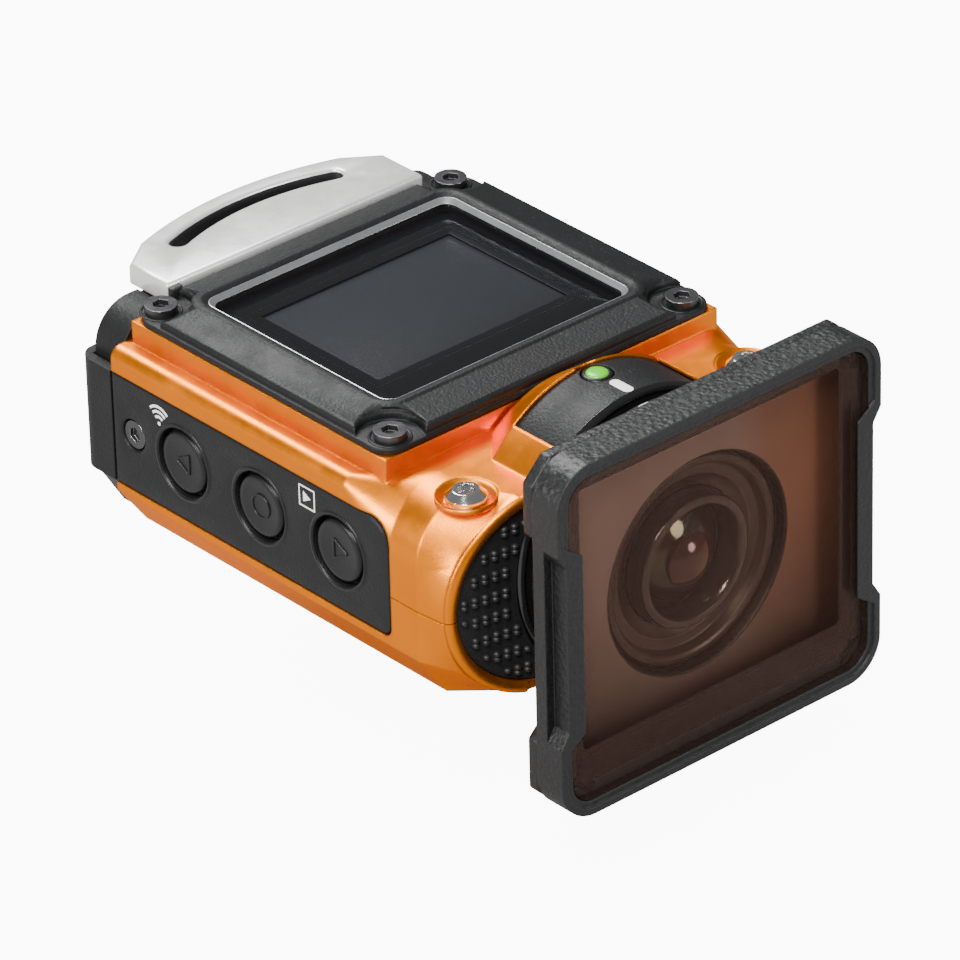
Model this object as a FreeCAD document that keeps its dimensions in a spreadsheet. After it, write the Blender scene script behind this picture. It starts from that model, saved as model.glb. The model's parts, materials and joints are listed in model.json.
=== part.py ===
import FreeCAD, Part
import math
import os
import Sketcher
from FreeCAD import Placement, Rotation, Vector

# Action camera, millimetres.
# Origin: mouth of the tripod socket, on the flat underside.
# +Z is up through the display, the lens looks along -Y, +X is the right side seen from the front.

SIZES = [
    # body
    ("body_width", 60.5), ("bottom_width", 51.8), ("deck_height", 26.3), ("seat_height", 29.3),
    ("chine_height", 6.0), ("mid_height", 13.5), ("seam_height", 13.0), ("rear_face", 24.3),
    ("front_face", 41.0), ("front_sweep", 120.0), ("shoulder_round", 1.6), ("nose_round", 8.5),
    ("nose_rise", 0.9), ("mid_end", 20.0), ("nose_start", 28.0), ("nose_end", 33.0), ("snout_start", 38.5),
    ("seat_width", 54.6), ("seat_front", 24.5), ("seat_rear", 23.5),
    ("cavity_front", 27.0), ("wall", 2.0), ("side_wall", 1.4), ("fit_gap", 0.2), ("run_gap", 0.05),
    # grips and snout
    ("grip_spread", 15.5), ("snout_radius", 14.2), ("grip_radius", 12.4), ("grip_depth", 1.4),
    ("grip_gap", 0.15),
    # lens
    ("lens_height", 14.7), ("hump_radius", 19.9), ("hump_root", 16.0), ("hump_back", 24.9),
    ("hump_full", 30.5),
    ("notch_width", 23.8), ("collar_back", 30.3), ("collar_radius", 19.3), ("collar_front", 39.2),
    ("spigot_radius", 15.5), ("barrel_radius", 14.0), ("barrel_front", 49.0), ("barrel_back", 27.6),
    ("recess_radius", 12.1), ("recess_depth", 1.5), ("ring_radius", 8.9), ("ring_front", 49.8),
    ("element_radius", 7.2), ("dome_height", 2.0), ("element_back", 45.0),
    # display and its bezel
    ("bezel_width", 54.4), ("bezel_length", 49.4), ("bezel_round", 3.2), ("bezel_height", 2.7),
    ("bezel_rear_cut", 23.5),
    ("lip_height", 1.0), ("lip_side", 0.7), ("window_width", 40.4), ("window_length", 34.6),
    ("window_round", 2.0),
    ("window_offset", 0.45), ("window_thick", 1.1), ("seal_thick", 0.5), ("seal_side", 1.6),
    ("panel_width", 36.4), ("panel_length", 30.6), ("panel_thick", 2.4),
    ("screw_x", 24.0), ("screw_y", 21.65), ("screw_head", 2.1), ("screw_shank", 1.0), ("ear_radius", 4.2),
    ("ear_drop", 1.9),
    ("nose_screw_x", 23.07), ("nose_screw_y", 34.26), ("nose_screw_z", 27.3), ("nose_screw_head", 2.6),
    ("dish_radius", 3.9),
    # strap bracket
    ("bracket_width", 42.2), ("bracket_front", 23.8), ("bracket_corner", 31.3), ("bracket_bevel", 4.7),
    ("bracket_rear", 37.6), ("bracket_top", 32.0), ("bracket_thick", 3.1), ("slot_length", 26.4),
    ("slot_width", 2.4),
    ("bracket_screw_set_back", 1.3), ("slot_rear", 35.0), ("slot_sag", 2.4),
    # side plates and buttons
    ("plate_thick", 1.65), ("plate_low", 7.2), ("plate_high", 22.9), ("plate_front", 28.0),
    ("plate_rear", 24.4),
    ("plate_round", 4.0), ("button_pitch", 14.7), ("button_first", 10.9), ("button_height", 15.3),
    ("button_radius", 4.15),
    ("button_gap", 0.55), ("button_proud", 0.1), ("button_stroke", 0.6), ("stem_radius", 1.4),
    ("plate_screw_y", 20.5), ("plate_screw_head", 1.9),
    # rear cover and door
    ("cover_depth", 5.2), ("cover_gap", 0.1), ("cover_top", 29.2), ("cover_round", 5.5),
    ("cover_roof", 3.2), ("door_thick", 1.5),
    ("door_low", 7.2), ("door_high", 22.9), ("opening_width", 45.6), ("opening_low", 8.6),
    ("opening_high", 22.0),
    ("hinge_x", 28.1), ("hinge_y", 30.6), ("hinge_radius", 1.5), ("pin_radius", 0.7), ("knuckle_low", 11.0),
    ("knuckle_high", 19.0),
    ("latch_x", 21.0), ("latch_length", 9.0), ("latch_width", 5.0), ("latch_stroke", 3.0),
    # protector
    ("guard_width", 53.0), ("guard_height", 48.8), ("guard_round", 5.4), ("guard_front", 54.5),
    ("guard_depth", 4.5),
    ("guard_back", 1.9), ("rim_width", 1.0), ("grip_cut", 1.3), ("grip_step", 2.9), ("grip_half", 13.4),
    ("grip_slope", 2.0), ("grip_lead", 1.0), ("grip_front", 2.6),
    ("guard_ring_radius", 18.3), ("guard_ring_inner", 14.6), ("guard_ring_gap", 0.7), ("glass_thick", 1.2),
    ("glass_inset", 0.25), ("glass_side", 1.05),
    ("back_grip_half", 14.3), ("back_corner", 3.0),
    # lock button on the collar
    ("lock_radius", 2.0), ("lock_y", 31.9), ("lock_length", 2.8), ("lock_proud", 0.35),
    # tripod socket
    ("bush_radius", 4.9), ("bush_height", 7.0), ("thread_radius", 2.55), ("thread_depth", 5.5),
    ("flange_radius", 6.4),
    # internals
    ("battery_width", 36.0), ("battery_length", 38.0), ("battery_thick", 6.4), ("battery_low", 9.6),
    ("tray_wall", 1.0),
    ("board_width", 38.0), ("board_length", 42.0), ("board_thick", 1.2), ("board_height", 18.0),
    ("boss_x", 22.5), ("boss_front", 24.0), ("boss_rear", 19.0), ("boss_radius", 2.3), ("boss_top", 22.0),
    ("base_screw_head", 1.9), ("base_screw_shank", 0.95), ("base_screw_length", 19.0),
]

doc = FreeCAD.newDocument("action_camera")
sheet = doc.addObject("Spreadsheet::Sheet", "dims")
for row, (alias, size) in enumerate(SIZES, start=1):
    cell = "A%d" % row
    sheet.set(cell, str(size))
    sheet.setAlias(cell, alias)
doc.recompute()

NODES = []


def bound(text):
    """An expression in which each driving size is read from the sheet."""
    words = []
    word = ""
    for letter in text + " ":
        if letter.isalnum() or letter == "_":
            word += letter
            continue
        words.append("dims." + word if word in KNOWN else word)
        words.append(letter)
        word = ""
    return "".join(words).strip()


KNOWN = {alias for alias, _ in SIZES}


def number(text):
    """What an expression comes to with the present sizes."""
    return float(sheet.evalExpression(bound(text)))


def node(obj, label):
    """Marks an object as one sub-part and names it."""
    obj.Label = label
    NODES.append(obj)
    return obj


def place(obj, x="0", y="0", z="0", axis=None, angle=0.0):
    """Turns an object and binds its position."""
    if axis is not None:
        obj.Placement = Placement(Vector(0, 0, 0), Rotation(axis, angle))
    obj.setExpression("Placement.Base.x", bound(x))
    obj.setExpression("Placement.Base.y", bound(y))
    obj.setExpression("Placement.Base.z", bound(z))
    return obj


def block(name, x0, x1, y0, y1, z0, z1):
    """A box between two corners."""
    box = doc.addObject("Part::Box", name)
    box.setExpression("Length", bound("(%s) - (%s)" % (x1, x0)))
    box.setExpression("Width", bound("(%s) - (%s)" % (y1, y0)))
    box.setExpression("Height", bound("(%s) - (%s)" % (z1, z0)))
    return place(box, x0, y0, z0)


TURNS = {"x": (Vector(0, 1, 0), 90.0), "y": (Vector(1, 0, 0), -90.0), "z": (None, 0.0)}


def along(obj, axis, start, a, b):
    """Puts a round solid on an axis; a and b are its other two coordinates, in X, Y, Z order."""
    turn, angle = TURNS[axis]
    spots = {"x": (start, a, b), "y": (a, start, b), "z": (a, b, start)}[axis]
    return place(obj, *spots, axis=turn, angle=angle)


def rod(name, axis, radius, start, end, a="0", b="0"):
    """A cylinder along an axis."""
    cylinder = doc.addObject("Part::Cylinder", name)
    cylinder.setExpression("Radius", bound(radius))
    cylinder.setExpression("Height", bound("(%s) - (%s)" % (end, start)))
    return along(cylinder, axis, start, a, b)


def cone(name, axis, radius_start, radius_end, start, end, a="0", b="0"):
    """A cone frustum along an axis."""
    frustum = doc.addObject("Part::Cone", name)
    frustum.setExpression("Radius1", bound(radius_start))
    frustum.setExpression("Radius2", bound(radius_end))
    frustum.setExpression("Height", bound("(%s) - (%s)" % (end, start)))
    return along(frustum, axis, start, a, b)


def fuse(name, parts):
    """One solid from several."""
    joined = doc.addObject("Part::MultiFuse", name)
    joined.Shapes = parts
    joined.Refine = True
    return joined


def group(name, parts):
    """Separate like solids in one node."""
    joined = doc.addObject("Part::Compound", name)
    joined.Links = parts
    return joined


def cut(name, base, tools):
    """A solid less one or more tools."""
    tool = tools[0] if len(tools) == 1 else group(name + "_tools", tools)
    result = doc.addObject("Part::Cut", name)
    result.Base = base
    result.Tool = tool
    result.Refine = True
    return result


def common(name, base, tool):
    """What two solids share."""
    result = doc.addObject("Part::Common", name)
    result.Base = base
    result.Tool = tool
    result.Refine = True
    return result


PLANES = {"xy": "XY_Plane", "xz": "XZ_Plane", "yz": "YZ_Plane"}


def sketch_on(body, name, plane, points, offset="0"):
    """A closed outline: (a, b) is joined by a line, (a, b, radius, turn) by an arc, turn +1 anticlockwise."""
    sketch = body.newObject("Sketcher::SketchObject", name)
    support = [item for item in body.Origin.OriginFeatures if item.Role == PLANES[plane]][0]
    sketch.AttachmentSupport = [(support, "")]
    sketch.MapMode = "FlatFace"
    sketch.setExpression("AttachmentOffset.Base.z", bound(offset))
    spots = [Vector(number(point[0]), number(point[1]), 0) for point in points]
    ends = []
    for index, point in enumerate(points):
        start, end = spots[index - 1], spots[index]
        if len(point) == 2:
            edge = sketch.addGeometry(Part.LineSegment(start, end), False)
            ends.append((edge, 1, 2))
            continue
        radius, turn = number(point[2]), point[3]
        chord = end - start
        side = Vector(-chord.y, chord.x, 0).normalize() * turn
        centre = (start + end) * 0.5 + side * math.sqrt(max(radius ** 2 - chord.Length ** 2 / 4, 0))
        first, last = (start, end) if turn > 0 else (end, start)
        angles = [math.atan2(spot.y - centre.y, spot.x - centre.x) for spot in (first, last)]
        if angles[1] < angles[0]:
            angles[1] += 2 * math.pi
        circle = Part.Circle(centre, Vector(0, 0, 1), radius)
        edge = sketch.addGeometry(Part.ArcOfCircle(circle, angles[0], angles[1]), False)
        ends.append((edge, 1, 2) if turn > 0 else (edge, 2, 1))
        rule = sketch.addConstraint(Sketcher.Constraint("Radius", edge, radius))
        sketch.setExpression("Constraints[%d]" % rule, bound(point[2]))
    for index, point in enumerate(points):
        edge, _, tip = ends[index]
        following, tail, _ = ends[(index + 1) % len(points)]
        sketch.addConstraint(Sketcher.Constraint("Coincident", edge, tip, following, tail))
        for kind, text in (("DistanceX", point[0]), ("DistanceY", point[1])):
            rule = sketch.addConstraint(Sketcher.Constraint(kind, -1, 1, edge, tip, number(text)))
            sketch.setExpression("Constraints[%d]" % rule, bound(text))
    return sketch


def mirrored(half):
    """A whole outline from its right half, given anticlockwise from the bottom."""
    left = []
    for index in range(len(half) - 1, -1, -1):
        spot = half[index]
        came = half[index + 1] if index + 1 < len(half) else (None, None)
        start = ("-(%s)" % spot[0], spot[1])
        left.append(start + tuple(came[2:]) if len(came) == 4 else start)
    return [half[0][:2]] + list(half[1:]) + left


def pad(name, plane, points, start, end):
    """A Body whose outline is drawn on an origin plane and padded between two stations along its normal."""
    body = doc.addObject("PartDesign::Body", name)
    sketch = sketch_on(body, name + "_outline", plane, points)
    feature = body.newObject("PartDesign::Pad", name + "_pad")
    feature.Profile = sketch
    feature.setExpression("Length", bound("(%s) - (%s)" % (end, start)))
    body.Tip = feature
    spots = {"xy": ("0", "0", start), "xz": ("0", end, "0"), "yz": (start, "0", "0")}[plane]
    return place(body, *spots)


def rounded(name, plane, width, height, radius, a, b, start, end):
    """A rounded rectangle padded between two stations; a and b are its centre."""
    half_a, half_b = "(%s) / 2" % width, "(%s) / 2" % height
    radius = "(%s)" % radius
    low_a, high_a = "%s - %s" % (a, half_a), "%s + %s" % (a, half_a)
    low_b, high_b = "%s - %s" % (b, half_b), "%s + %s" % (b, half_b)
    return pad(name, plane, [
        (high_a + " - " + radius, low_b),
        (high_a, low_b + " + " + radius, radius, 1),
        (high_a, high_b + " - " + radius),
        (high_a + " - " + radius, high_b, radius, 1),
        (low_a + " + " + radius, high_b),
        (low_a, high_b + " - " + radius, radius, 1),
        (low_a, low_b + " + " + radius),
        (low_a + " + " + radius, low_b, radius, 1),
    ], start, end)


def both_sides(maker):
    """The same piece on the left (-1) and the right (+1)."""
    return [maker(sign, word) for sign, word in ((-1, "left"), (1, "right"))]


def side(sign, text):
    """A signed X expression."""
    return text if sign > 0 else "-(%s)" % text


def cross_block(name, sign, inner, outer, y0, y1, z0, z1):
    """A box whose X span is given outwards from the middle."""
    if sign > 0:
        return block(name, inner, outer, y0, y1, z0, z1)
    return block(name, "-(%s)" % outer, "-(%s)" % inner, y0, y1, z0, z1)


def cross_rod(name, sign, radius, inner, outer, y, z):
    """A cylinder along X whose span is given outwards from the middle."""
    if sign > 0:
        return rod(name, "x", radius, inner, outer, y, z)
    return rod(name, "x", radius, "-(%s)" % outer, "-(%s)" % inner, y, z)


# ---------------------------------------------------------------- body form

HALF = "body_width / 2"
BASE = "bottom_width / 2"
NOSE_TOP = "deck_height + nose_rise"


def polar(radius, angle):
    """A point of the snout's round end, as expressions."""
    turn = math.radians(angle)
    return ("grip_spread + %s * %.6f" % (radius, math.cos(turn)),
            "mid_height + %s * %.6f" % (radius, math.sin(turn)))


def mid_section():
    """Half section of the middle of the body."""
    return [
        (BASE, "0"), (HALF, "chine_height"), (HALF, "mid_height"),
        (HALF, "deck_height - shoulder_round"),
        (HALF + " - shoulder_round", "deck_height", "shoulder_round", 1),
        (HALF + " - shoulder_round - 1.3", "deck_height"),
    ]


def nose_section():
    """Half section behind the round front corners."""
    return [
        (BASE, "0"), (HALF, "chine_height"), (HALF, "mid_height"),
        (HALF, NOSE_TOP + " - nose_round"),
        (HALF + " - nose_round", NOSE_TOP, "nose_round", 1),
        (HALF + " - nose_round - 2.5", NOSE_TOP),
    ]


def snout_section():
    """Half section of the front end, round about the grip's centre."""
    low, chine, middle, high, top = [polar("snout_radius", angle) for angle in (-72, -35, 0, 30, 75)]
    return [
        (low[0], "0"), chine + ("snout_radius", 1), middle + ("snout_radius", 1),
        high + ("snout_radius", 1),
        top + ("snout_radius", 1), (top[0] + " - 2.2", top[1]),
    ]


def loft(name, first, second, start, end):
    """A Body lofted between two half sections, at two distances in front of the origin."""
    body = doc.addObject("PartDesign::Body", name)
    back = sketch_on(body, name + "_back", "xz", mirrored(first), start)
    front = sketch_on(body, name + "_front", "xz", mirrored(second), end)
    feature = body.newObject("PartDesign::AdditiveLoft", name + "_loft")
    feature.Profile = back
    feature.Sections = [front]
    feature.Ruled = True
    body.Tip = feature
    return body


def sweep_drum(name, depth):
    """The big upright drum whose front gives the bowed front face; depth is how far behind that face."""
    return rod(name, "z", "front_sweep", "-20", "60", "0", "front_sweep - front_face + " + depth)


def body_form():
    """The closed outer form of both shells."""
    middle = pad("middle", "xz", mirrored(mid_section()), "-mid_end", "rear_face")
    shoulders = loft("shoulders", mid_section(), nose_section(), "mid_end", "nose_start")
    nose = pad("nose", "xz", mirrored(nose_section()), "-nose_end", "-nose_start")
    snout = loft("snout", nose_section(), snout_section(), "nose_end", "snout_start")
    tip = pad("snout_tip", "xz", mirrored(snout_section()), "-front_face - 1", "-snout_start")
    seat = block("seat", "-seat_width / 2", "seat_width / 2", "-seat_front", "seat_rear", "deck_height - 4",
                 "seat_height")
    ramp = cone("hump_ramp", "y", "hump_radius", "hump_root", "-hump_full", "-hump_back", "0",
                "lens_height")
    hump = rod("hump", "y", "hump_radius", "-front_face - 1", "-hump_full", "0", "lens_height")
    whole = fuse("body_solid", [middle, shoulders, nose, snout, tip, seat, ramp, hump])
    return common("body_form", whole, sweep_drum("front_drum", "0"))


CAVITY_SIDE = HALF + " - plate_thick - side_wall"


def cavity():
    """The room inside the shells, open at the rear."""
    half = [
        (BASE + " - 1.3", "wall"), (CAVITY_SIDE, "chine_height - 0.4"), (CAVITY_SIDE, "deck_height - 1.8"),
        (CAVITY_SIDE + " - 1.7", "deck_height - 1"), (CAVITY_SIDE + " - 1.7", "seat_height - wall"),
        (CAVITY_SIDE + " - 3", "seat_height - wall"),
    ]
    return pad("cavity", "xz", mirrored(half), "-seat_front + wall", "rear_face + 1")


def front_cavity():
    """The room behind the lens, lower than the main one because the nose is."""
    return block("front_cavity", "-" + BASE + " + 4", BASE + " - 4", "-cavity_front",
                 "-seat_front + wall + 1",
                 "wall + 1", "deck_height - wall")


def plate_outline(gap):
    """The side plate's outline in Y and Z, grown by a gap."""
    front, rear = "-plate_front - " + gap, "plate_rear + " + gap
    low, high = "plate_low - " + gap, "plate_high + " + gap
    return [
        (rear, low), (rear, high), (front + " + plate_round", high),
        (front, high + " - plate_round", "plate_round", 1),
        (front, low + " + 1.5"), (front + " + 1.5", low, "1.5", 1),
    ]


def plate_pocket(sign, word):
    """The recess for a side plate."""
    if sign > 0:
        return pad(word + "_recess", "yz", plate_outline("0.15"), HALF + " - plate_thick", HALF + " + 2")
    return pad(word + "_recess", "yz", plate_outline("0.15"), "-body_width / 2 - 2",
               "-body_width / 2 + plate_thick")


def button_y(index):
    """How far back each button sits."""
    return "button_first - %d * button_pitch" % index


def grip_tool(sign, word, name, grow, depth):
    """What a grip fills: a round plug down to a floor that is bowed like the front."""
    plug = rod("%s_%s" % (word, name), "y", "grip_radius + " + grow, "-front_face - 4", "-front_face + 12",
               side(sign, "grip_spread"), "mid_height")
    return cut("%s_%s_tool" % (word, name), plug, [sweep_drum("%s_%s_floor" % (word, name), depth)])


BOSS_ROOF = {"-boss_front": "deck_height - 0.8", "boss_rear": "seat_height - 1"}
BOSS_SPOTS = [(sign, spot) for sign in (-1, 1) for spot in ("-boss_front", "boss_rear")]


def hollow_body():
    """The whole casing before it is parted at the seam."""
    notch = block("notch", "-notch_width / 2", "notch_width / 2", "-front_face - 3", "-collar_back", "-10",
                  "40")
    bore = rod("collar_bore", "y", "collar_radius + 0.15", "-front_face - 3", "-collar_back", "0",
               "lens_height")
    spigot = rod("spigot_bore", "y", "spigot_radius + fit_gap", "-collar_back - 1", "-cavity_front + 1",
                 "0", "lens_height")
    lock = rod("lock_notch", "z", "lock_radius + 0.3", "lens_height + spigot_radius + 1.5", "40", "0",
               "-lock_y")
    display = block("display_opening", "-panel_width / 2 - 0.3", "panel_width / 2 + 0.3",
                    "window_offset - panel_length / 2 - 0.3", "window_offset + panel_length / 2 + 0.3",
                    "20", "31")
    tools = [notch, bore, spigot, lock, display, cavity(), front_cavity()]
    tools += both_sides(plate_pocket)
    tools += both_sides(lambda sign, word: grip_tool(sign, word, "grip_pocket", "grip_gap", "grip_depth"))
    for sign, word in ((-1, "left"), (1, "right")):
        for index in range(3):
            tools.append(cross_rod("%s_stem_hole_%d" % (word, index), sign, "stem_radius + 0.3",
                                   HALF + " - 6", HALF,
                                   button_y(index), "button_height"))
        tools.append(cross_rod(word + "_plate_screw_hole", sign, "screw_shank", HALF + " - 6", HALF,
                               "plate_screw_y", "button_height"))
        x = side(sign, "nose_screw_x")
        tools.append(rod(word + "_dish", "z", "dish_radius", "nose_screw_z - 0.9", "40", x,
                         "-nose_screw_y"))
        tools.append(rod(word + "_nose_screw_hole", "z", "screw_shank", "nose_screw_z - 7", "40", x,
                         "-nose_screw_y"))
    shelled = cut("shelled", body_form(), tools)
    bosses = [rod("boss_%d" % index, "z", "boss_radius", "1", BOSS_ROOF[spot], side(sign, "boss_x"), spot)
              for index, (sign, spot) in enumerate(BOSS_SPOTS)]
    tower = rod("bush_tower", "z", "bush_radius + 1.6", "1", "bush_height + 0.3", "0", "0")
    built = fuse("casing_with_bosses", [shelled] + bosses + [tower])
    drills = [rod("bush_hole", "z", "bush_radius + run_gap", "-1", "bush_height + 1", "0", "0")]
    for index, (sign, spot) in enumerate(BOSS_SPOTS):
        x = side(sign, "boss_x")
        drills.append(rod("base_hole_%d" % index, "z", "base_screw_shank", "-1", "boss_top - 1", x, spot))
        drills.append(rod("base_sink_%d" % index, "z", "base_screw_head + 0.1", "-1", "1.7", x, spot))
        seat_y = "-screw_y" if spot.startswith("-") else "screw_y"
        drills.append(rod("seat_hole_%d" % index, "z", "screw_shank", "seat_height - 5", "40",
                          side(sign, "screw_x"), seat_y))
    return cut("casing", built, drills)


def shells():
    """Upper and lower shell, parted at the seam."""
    casing = hollow_body()
    above = block("above_seam", "-50", "50", "-60", "60", "seam_height", "60")
    below = block("below_seam", "-50", "50", "-60", "60", "-20", "seam_height")
    node(common("upper", casing, above), "upper_shell")
    node(common("lower", casing, below), "lower_shell")


# ---------------------------------------------------------------- display

def display():
    """Bezel, window, seal, display module and the bezel's screws."""
    window_low = "seat_height + seal_thick"
    lip = "seat_height + bezel_height - lip_height"
    slab = rounded("bezel_slab", "xy", "bezel_width", "bezel_length", "bezel_round", "0", "0",
                   "seat_height", "seat_height + bezel_height")
    bed = rounded("bezel_bed", "xy", "window_width + 0.3", "window_length + 0.3", "window_round", "0",
                  "window_offset",
                  "seat_height - 1", lip)
    view = rounded("bezel_view", "xy", "window_width - 2 * lip_side", "window_length - 2 * lip_side",
                   "window_round",
                   "0", "window_offset", "seat_height - 1", "seat_height + bezel_height + 1")
    rear = block("bezel_rear_notch", "-bracket_width / 2 - 0.2", "bracket_width / 2 + 0.2",
                 "bezel_rear_cut", "40", "20", "40")
    tools = [bed, view, rear]
    screws = []
    for sign in (-1, 1):
        for spot in (-1, 1):
            tag = "%d_%d" % (sign, spot)
            x, y = side(sign, "screw_x"), side(spot, "screw_y")
            floor = "seat_height + bezel_height - ear_drop"
            tools.append(rod("ear_" + tag, "z", "ear_radius", floor, "40", x, y))
            tools.append(rod("ear_hole_" + tag, "z", "screw_shank + 0.1", "seat_height - 1", "40", x, y))
            head = rod("head_" + tag, "z", "screw_head", floor, floor + " + 1.15", x, y)
            shank = rod("shank_" + tag, "z", "screw_shank - run_gap", "seat_height - 4.5", floor + " + 0.1",
                        x, y)
            socket = pad_hex("socket_" + tag, "1.15", x, y, floor + " + 0.35", floor + " + 2")
            screws.append(cut("bezel_screw_" + tag, fuse("screw_blank_" + tag, [head, shank]), [socket]))
    node(cut("bezel", slab, tools), "lcd_bezel")
    node(group("bezel_screw_set", screws), "bezel_screws")
    node(rounded("window", "xy", "window_width", "window_length", "window_round", "0", "window_offset",
                 window_low, window_low + " + window_thick"), "lcd_window")
    outer = rounded("seal_outer", "xy", "window_width - 0.6", "window_length - 0.6", "window_round", "0",
                    "window_offset",
                    "seat_height", window_low)
    inner = rounded("seal_inner", "xy", "window_width - 0.6 - 2 * seal_side",
                    "window_length - 0.6 - 2 * seal_side",
                    "window_round - 0.8", "0", "window_offset", "seat_height - 1", window_low + " + 1")
    node(cut("window_seal_body", outer, [inner]), "window_seal")
    node(rounded("panel", "xy", "panel_width", "panel_length", "0.6", "0", "window_offset",
                 "seat_height - panel_thick - 0.1", "seat_height - 0.1"), "lcd_panel")


def pad_hex(name, radius, x, y, start, end, axis="z"):
    """A six-sided socket tool."""
    prism = doc.addObject("Part::Prism", name)
    prism.Polygon = 6
    prism.setExpression("Circumradius", bound(radius))
    prism.setExpression("Height", bound("(%s) - (%s)" % (end, start)))
    return along(prism, axis, start, x, y)


def nose_screws():
    """The two bright button-head screws on the shoulders."""
    screws = []
    for sign, word in ((-1, "left"), (1, "right")):
        x = side(sign, "nose_screw_x")
        floor = "nose_screw_z - 0.9"
        head = rod(word + "_nose_head", "z", "nose_screw_head", floor, floor + " + 0.7", x, "-nose_screw_y")
        crown = cone(word + "_nose_crown", "z", "nose_screw_head", "nose_screw_head - 0.9",
                     floor + " + 0.7",
                     floor + " + 1.5", x, "-nose_screw_y")
        shank = rod(word + "_nose_shank", "z", "screw_shank - run_gap", "nose_screw_z - 6.5", floor, x,
                    "-nose_screw_y")
        socket = pad_hex(word + "_nose_socket", "1.3", x, "-nose_screw_y", floor + " + 0.5", floor + " + 2")
        screws.append(cut(word + "_nose_screw", fuse(word + "_nose_blank", [head, crown, shank]), [socket]))
    node(group("nose_screw_set", screws), "shoulder_screws")


# ---------------------------------------------------------------- strap bracket

def strap_bracket():
    """The bright bracket behind the display, with a curved slot for the strap."""
    wide, low = "bracket_width / 2", "bracket_top - bracket_thick"
    inner = "bracket_width / 2 - bracket_bevel"
    shoulder = "bracket_corner + bracket_bevel * 0.73"
    sagitta = "(%s)^2 / 2 / (bracket_rear - (%s)) + (bracket_rear - (%s)) / 2" % (inner, shoulder, shoulder)
    plate = pad("bracket_plate", "xy", [
        (wide, "bracket_front"), (wide, "bracket_corner"), (inner, shoulder),
        ("-(%s)" % inner, shoulder, sagitta, 1), ("-(%s)" % wide, "bracket_corner"),
        ("-(%s)" % wide, "bracket_front"),
    ], low, "bracket_top")
    half = "slot_length / 2"
    bend = "slot_length^2 / 8 / slot_sag + slot_sag / 2"
    tail = "slot_rear - slot_sag"
    slot = pad("strap_slot", "xy", [
        (half, tail, "slot_width / 2", 1),
        ("-" + half, tail, bend, 1), ("-" + half, tail + " - slot_width", "slot_width / 2", 1),
        (half, tail + " - slot_width", bend, -1),
    ], low + " - 1", "bracket_top + 1")
    holes = [rod("bracket_hole_%d" % sign, "z", "screw_shank", low + " - 1", low + " + 2", side(sign, "12"),
                 "rear_face + bracket_screw_set_back")
             for sign in (-1, 1)]
    node(cut("bracket", plate, [slot] + holes), "strap_bracket")
    screws = []
    ceiling = "cover_top - cover_roof - 0.05"
    for sign in (-1, 1):
        x, y = side(sign, "12"), "rear_face + bracket_screw_set_back"
        shank = rod("bracket_shank_%d" % sign, "z", "screw_shank - run_gap", ceiling, low + " + 1.8", x, y)
        head = rod("bracket_head_%d" % sign, "z", "screw_head - 0.3", ceiling + " - 1.2",
                   ceiling + " + 0.02", x, y)
        screws.append(fuse("bracket_screw_%d" % sign, [shank, head]))
    node(group("bracket_screw_set", screws), "bracket_screws")


# ---------------------------------------------------------------- side plates and buttons

BUTTONS = {
    -1: ("back_button", "select_button", "forward_button"),
    1: ("power_button", "record_button", "photo_button"),
}


def side_controls(sign, word):
    """One side's plate, its screw, three buttons, rubber membrane and switch board."""
    if sign > 0:
        blank = pad(word + "_plate_blank", "yz", plate_outline("0"), HALF + " - plate_thick", HALF)
    else:
        blank = pad(word + "_plate_blank", "yz", plate_outline("0"), "-body_width / 2",
                    "-body_width / 2 + plate_thick")
    tools = [cross_rod(word + "_screw_sink", sign, "plate_screw_head + 0.25", HALF + " - 1.1",
                       HALF + " + 1",
                       "plate_screw_y", "button_height"),
             cross_rod(word + "_screw_pass", sign, "screw_shank + 0.1", HALF + " - 3", HALF,
                       "plate_screw_y", "button_height")]
    for index, label in enumerate(BUTTONS[sign]):
        y = button_y(index)
        tools.append(cross_rod(label + "_hole", sign, "button_radius + button_gap", HALF + " - 3",
                               HALF + " + 1", y, "button_height"))
        rim = HALF + " - button_proud"
        cap_back = rim + " - plate_thick + button_stroke + 0.2"
        cap = cross_rod(label + "_cap", sign, "button_radius", cap_back, rim, y, "button_height")
        stem = cross_rod(label + "_stem", sign, "stem_radius", HALF + " - plate_thick - side_wall - 0.6",
                         cap_back, y, "button_height")
        node(fuse(label + "_body", [cap, stem]), label)
    node(cut(word + "_plate_body", blank, tools), word + "_plate")
    head = cross_rod(word + "_plate_screw_head", sign, "plate_screw_head", HALF + " - 1.1",
                     HALF + " - 0.25",
                     "plate_screw_y", "button_height")
    shank = cross_rod(word + "_plate_screw_shank", sign, "screw_shank - run_gap", HALF + " - 5.5",
                      HALF + " - 1.1",
                      "plate_screw_y", "button_height")
    start = (HALF + " - 0.8") if sign > 0 else "-(%s) - 1" % HALF
    end = (HALF + " + 1") if sign > 0 else "-(%s) + 0.8" % HALF
    socket = pad_hex(word + "_plate_socket", "1.05", "plate_screw_y", "button_height", start, end, "x")
    node(cut(word + "_plate_screw_body", fuse(word + "_plate_screw_blank", [head, shank]), [socket]),
         word + "_plate_screw")
    back, front = "-button_pitch * 2 + button_first - 4", "button_first + 4"
    inner = HALF + " - plate_thick - side_wall - 0.6 - button_stroke - 0.15"
    node(cross_block(word + "_membrane_body", sign, inner + " - 0.6", inner, back, front,
                     "button_height - 5.5", "button_height + 5.5"), word + "_membrane")
    node(cross_block(word + "_switch_board_body", sign, inner + " - 1.5", inner + " - 0.7", back, front,
                     "button_height - 5", "button_height + 5"), word + "_switch_board")


# ---------------------------------------------------------------- rear cover and door

COVER_REAR = "rear_face + cover_depth"


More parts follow.
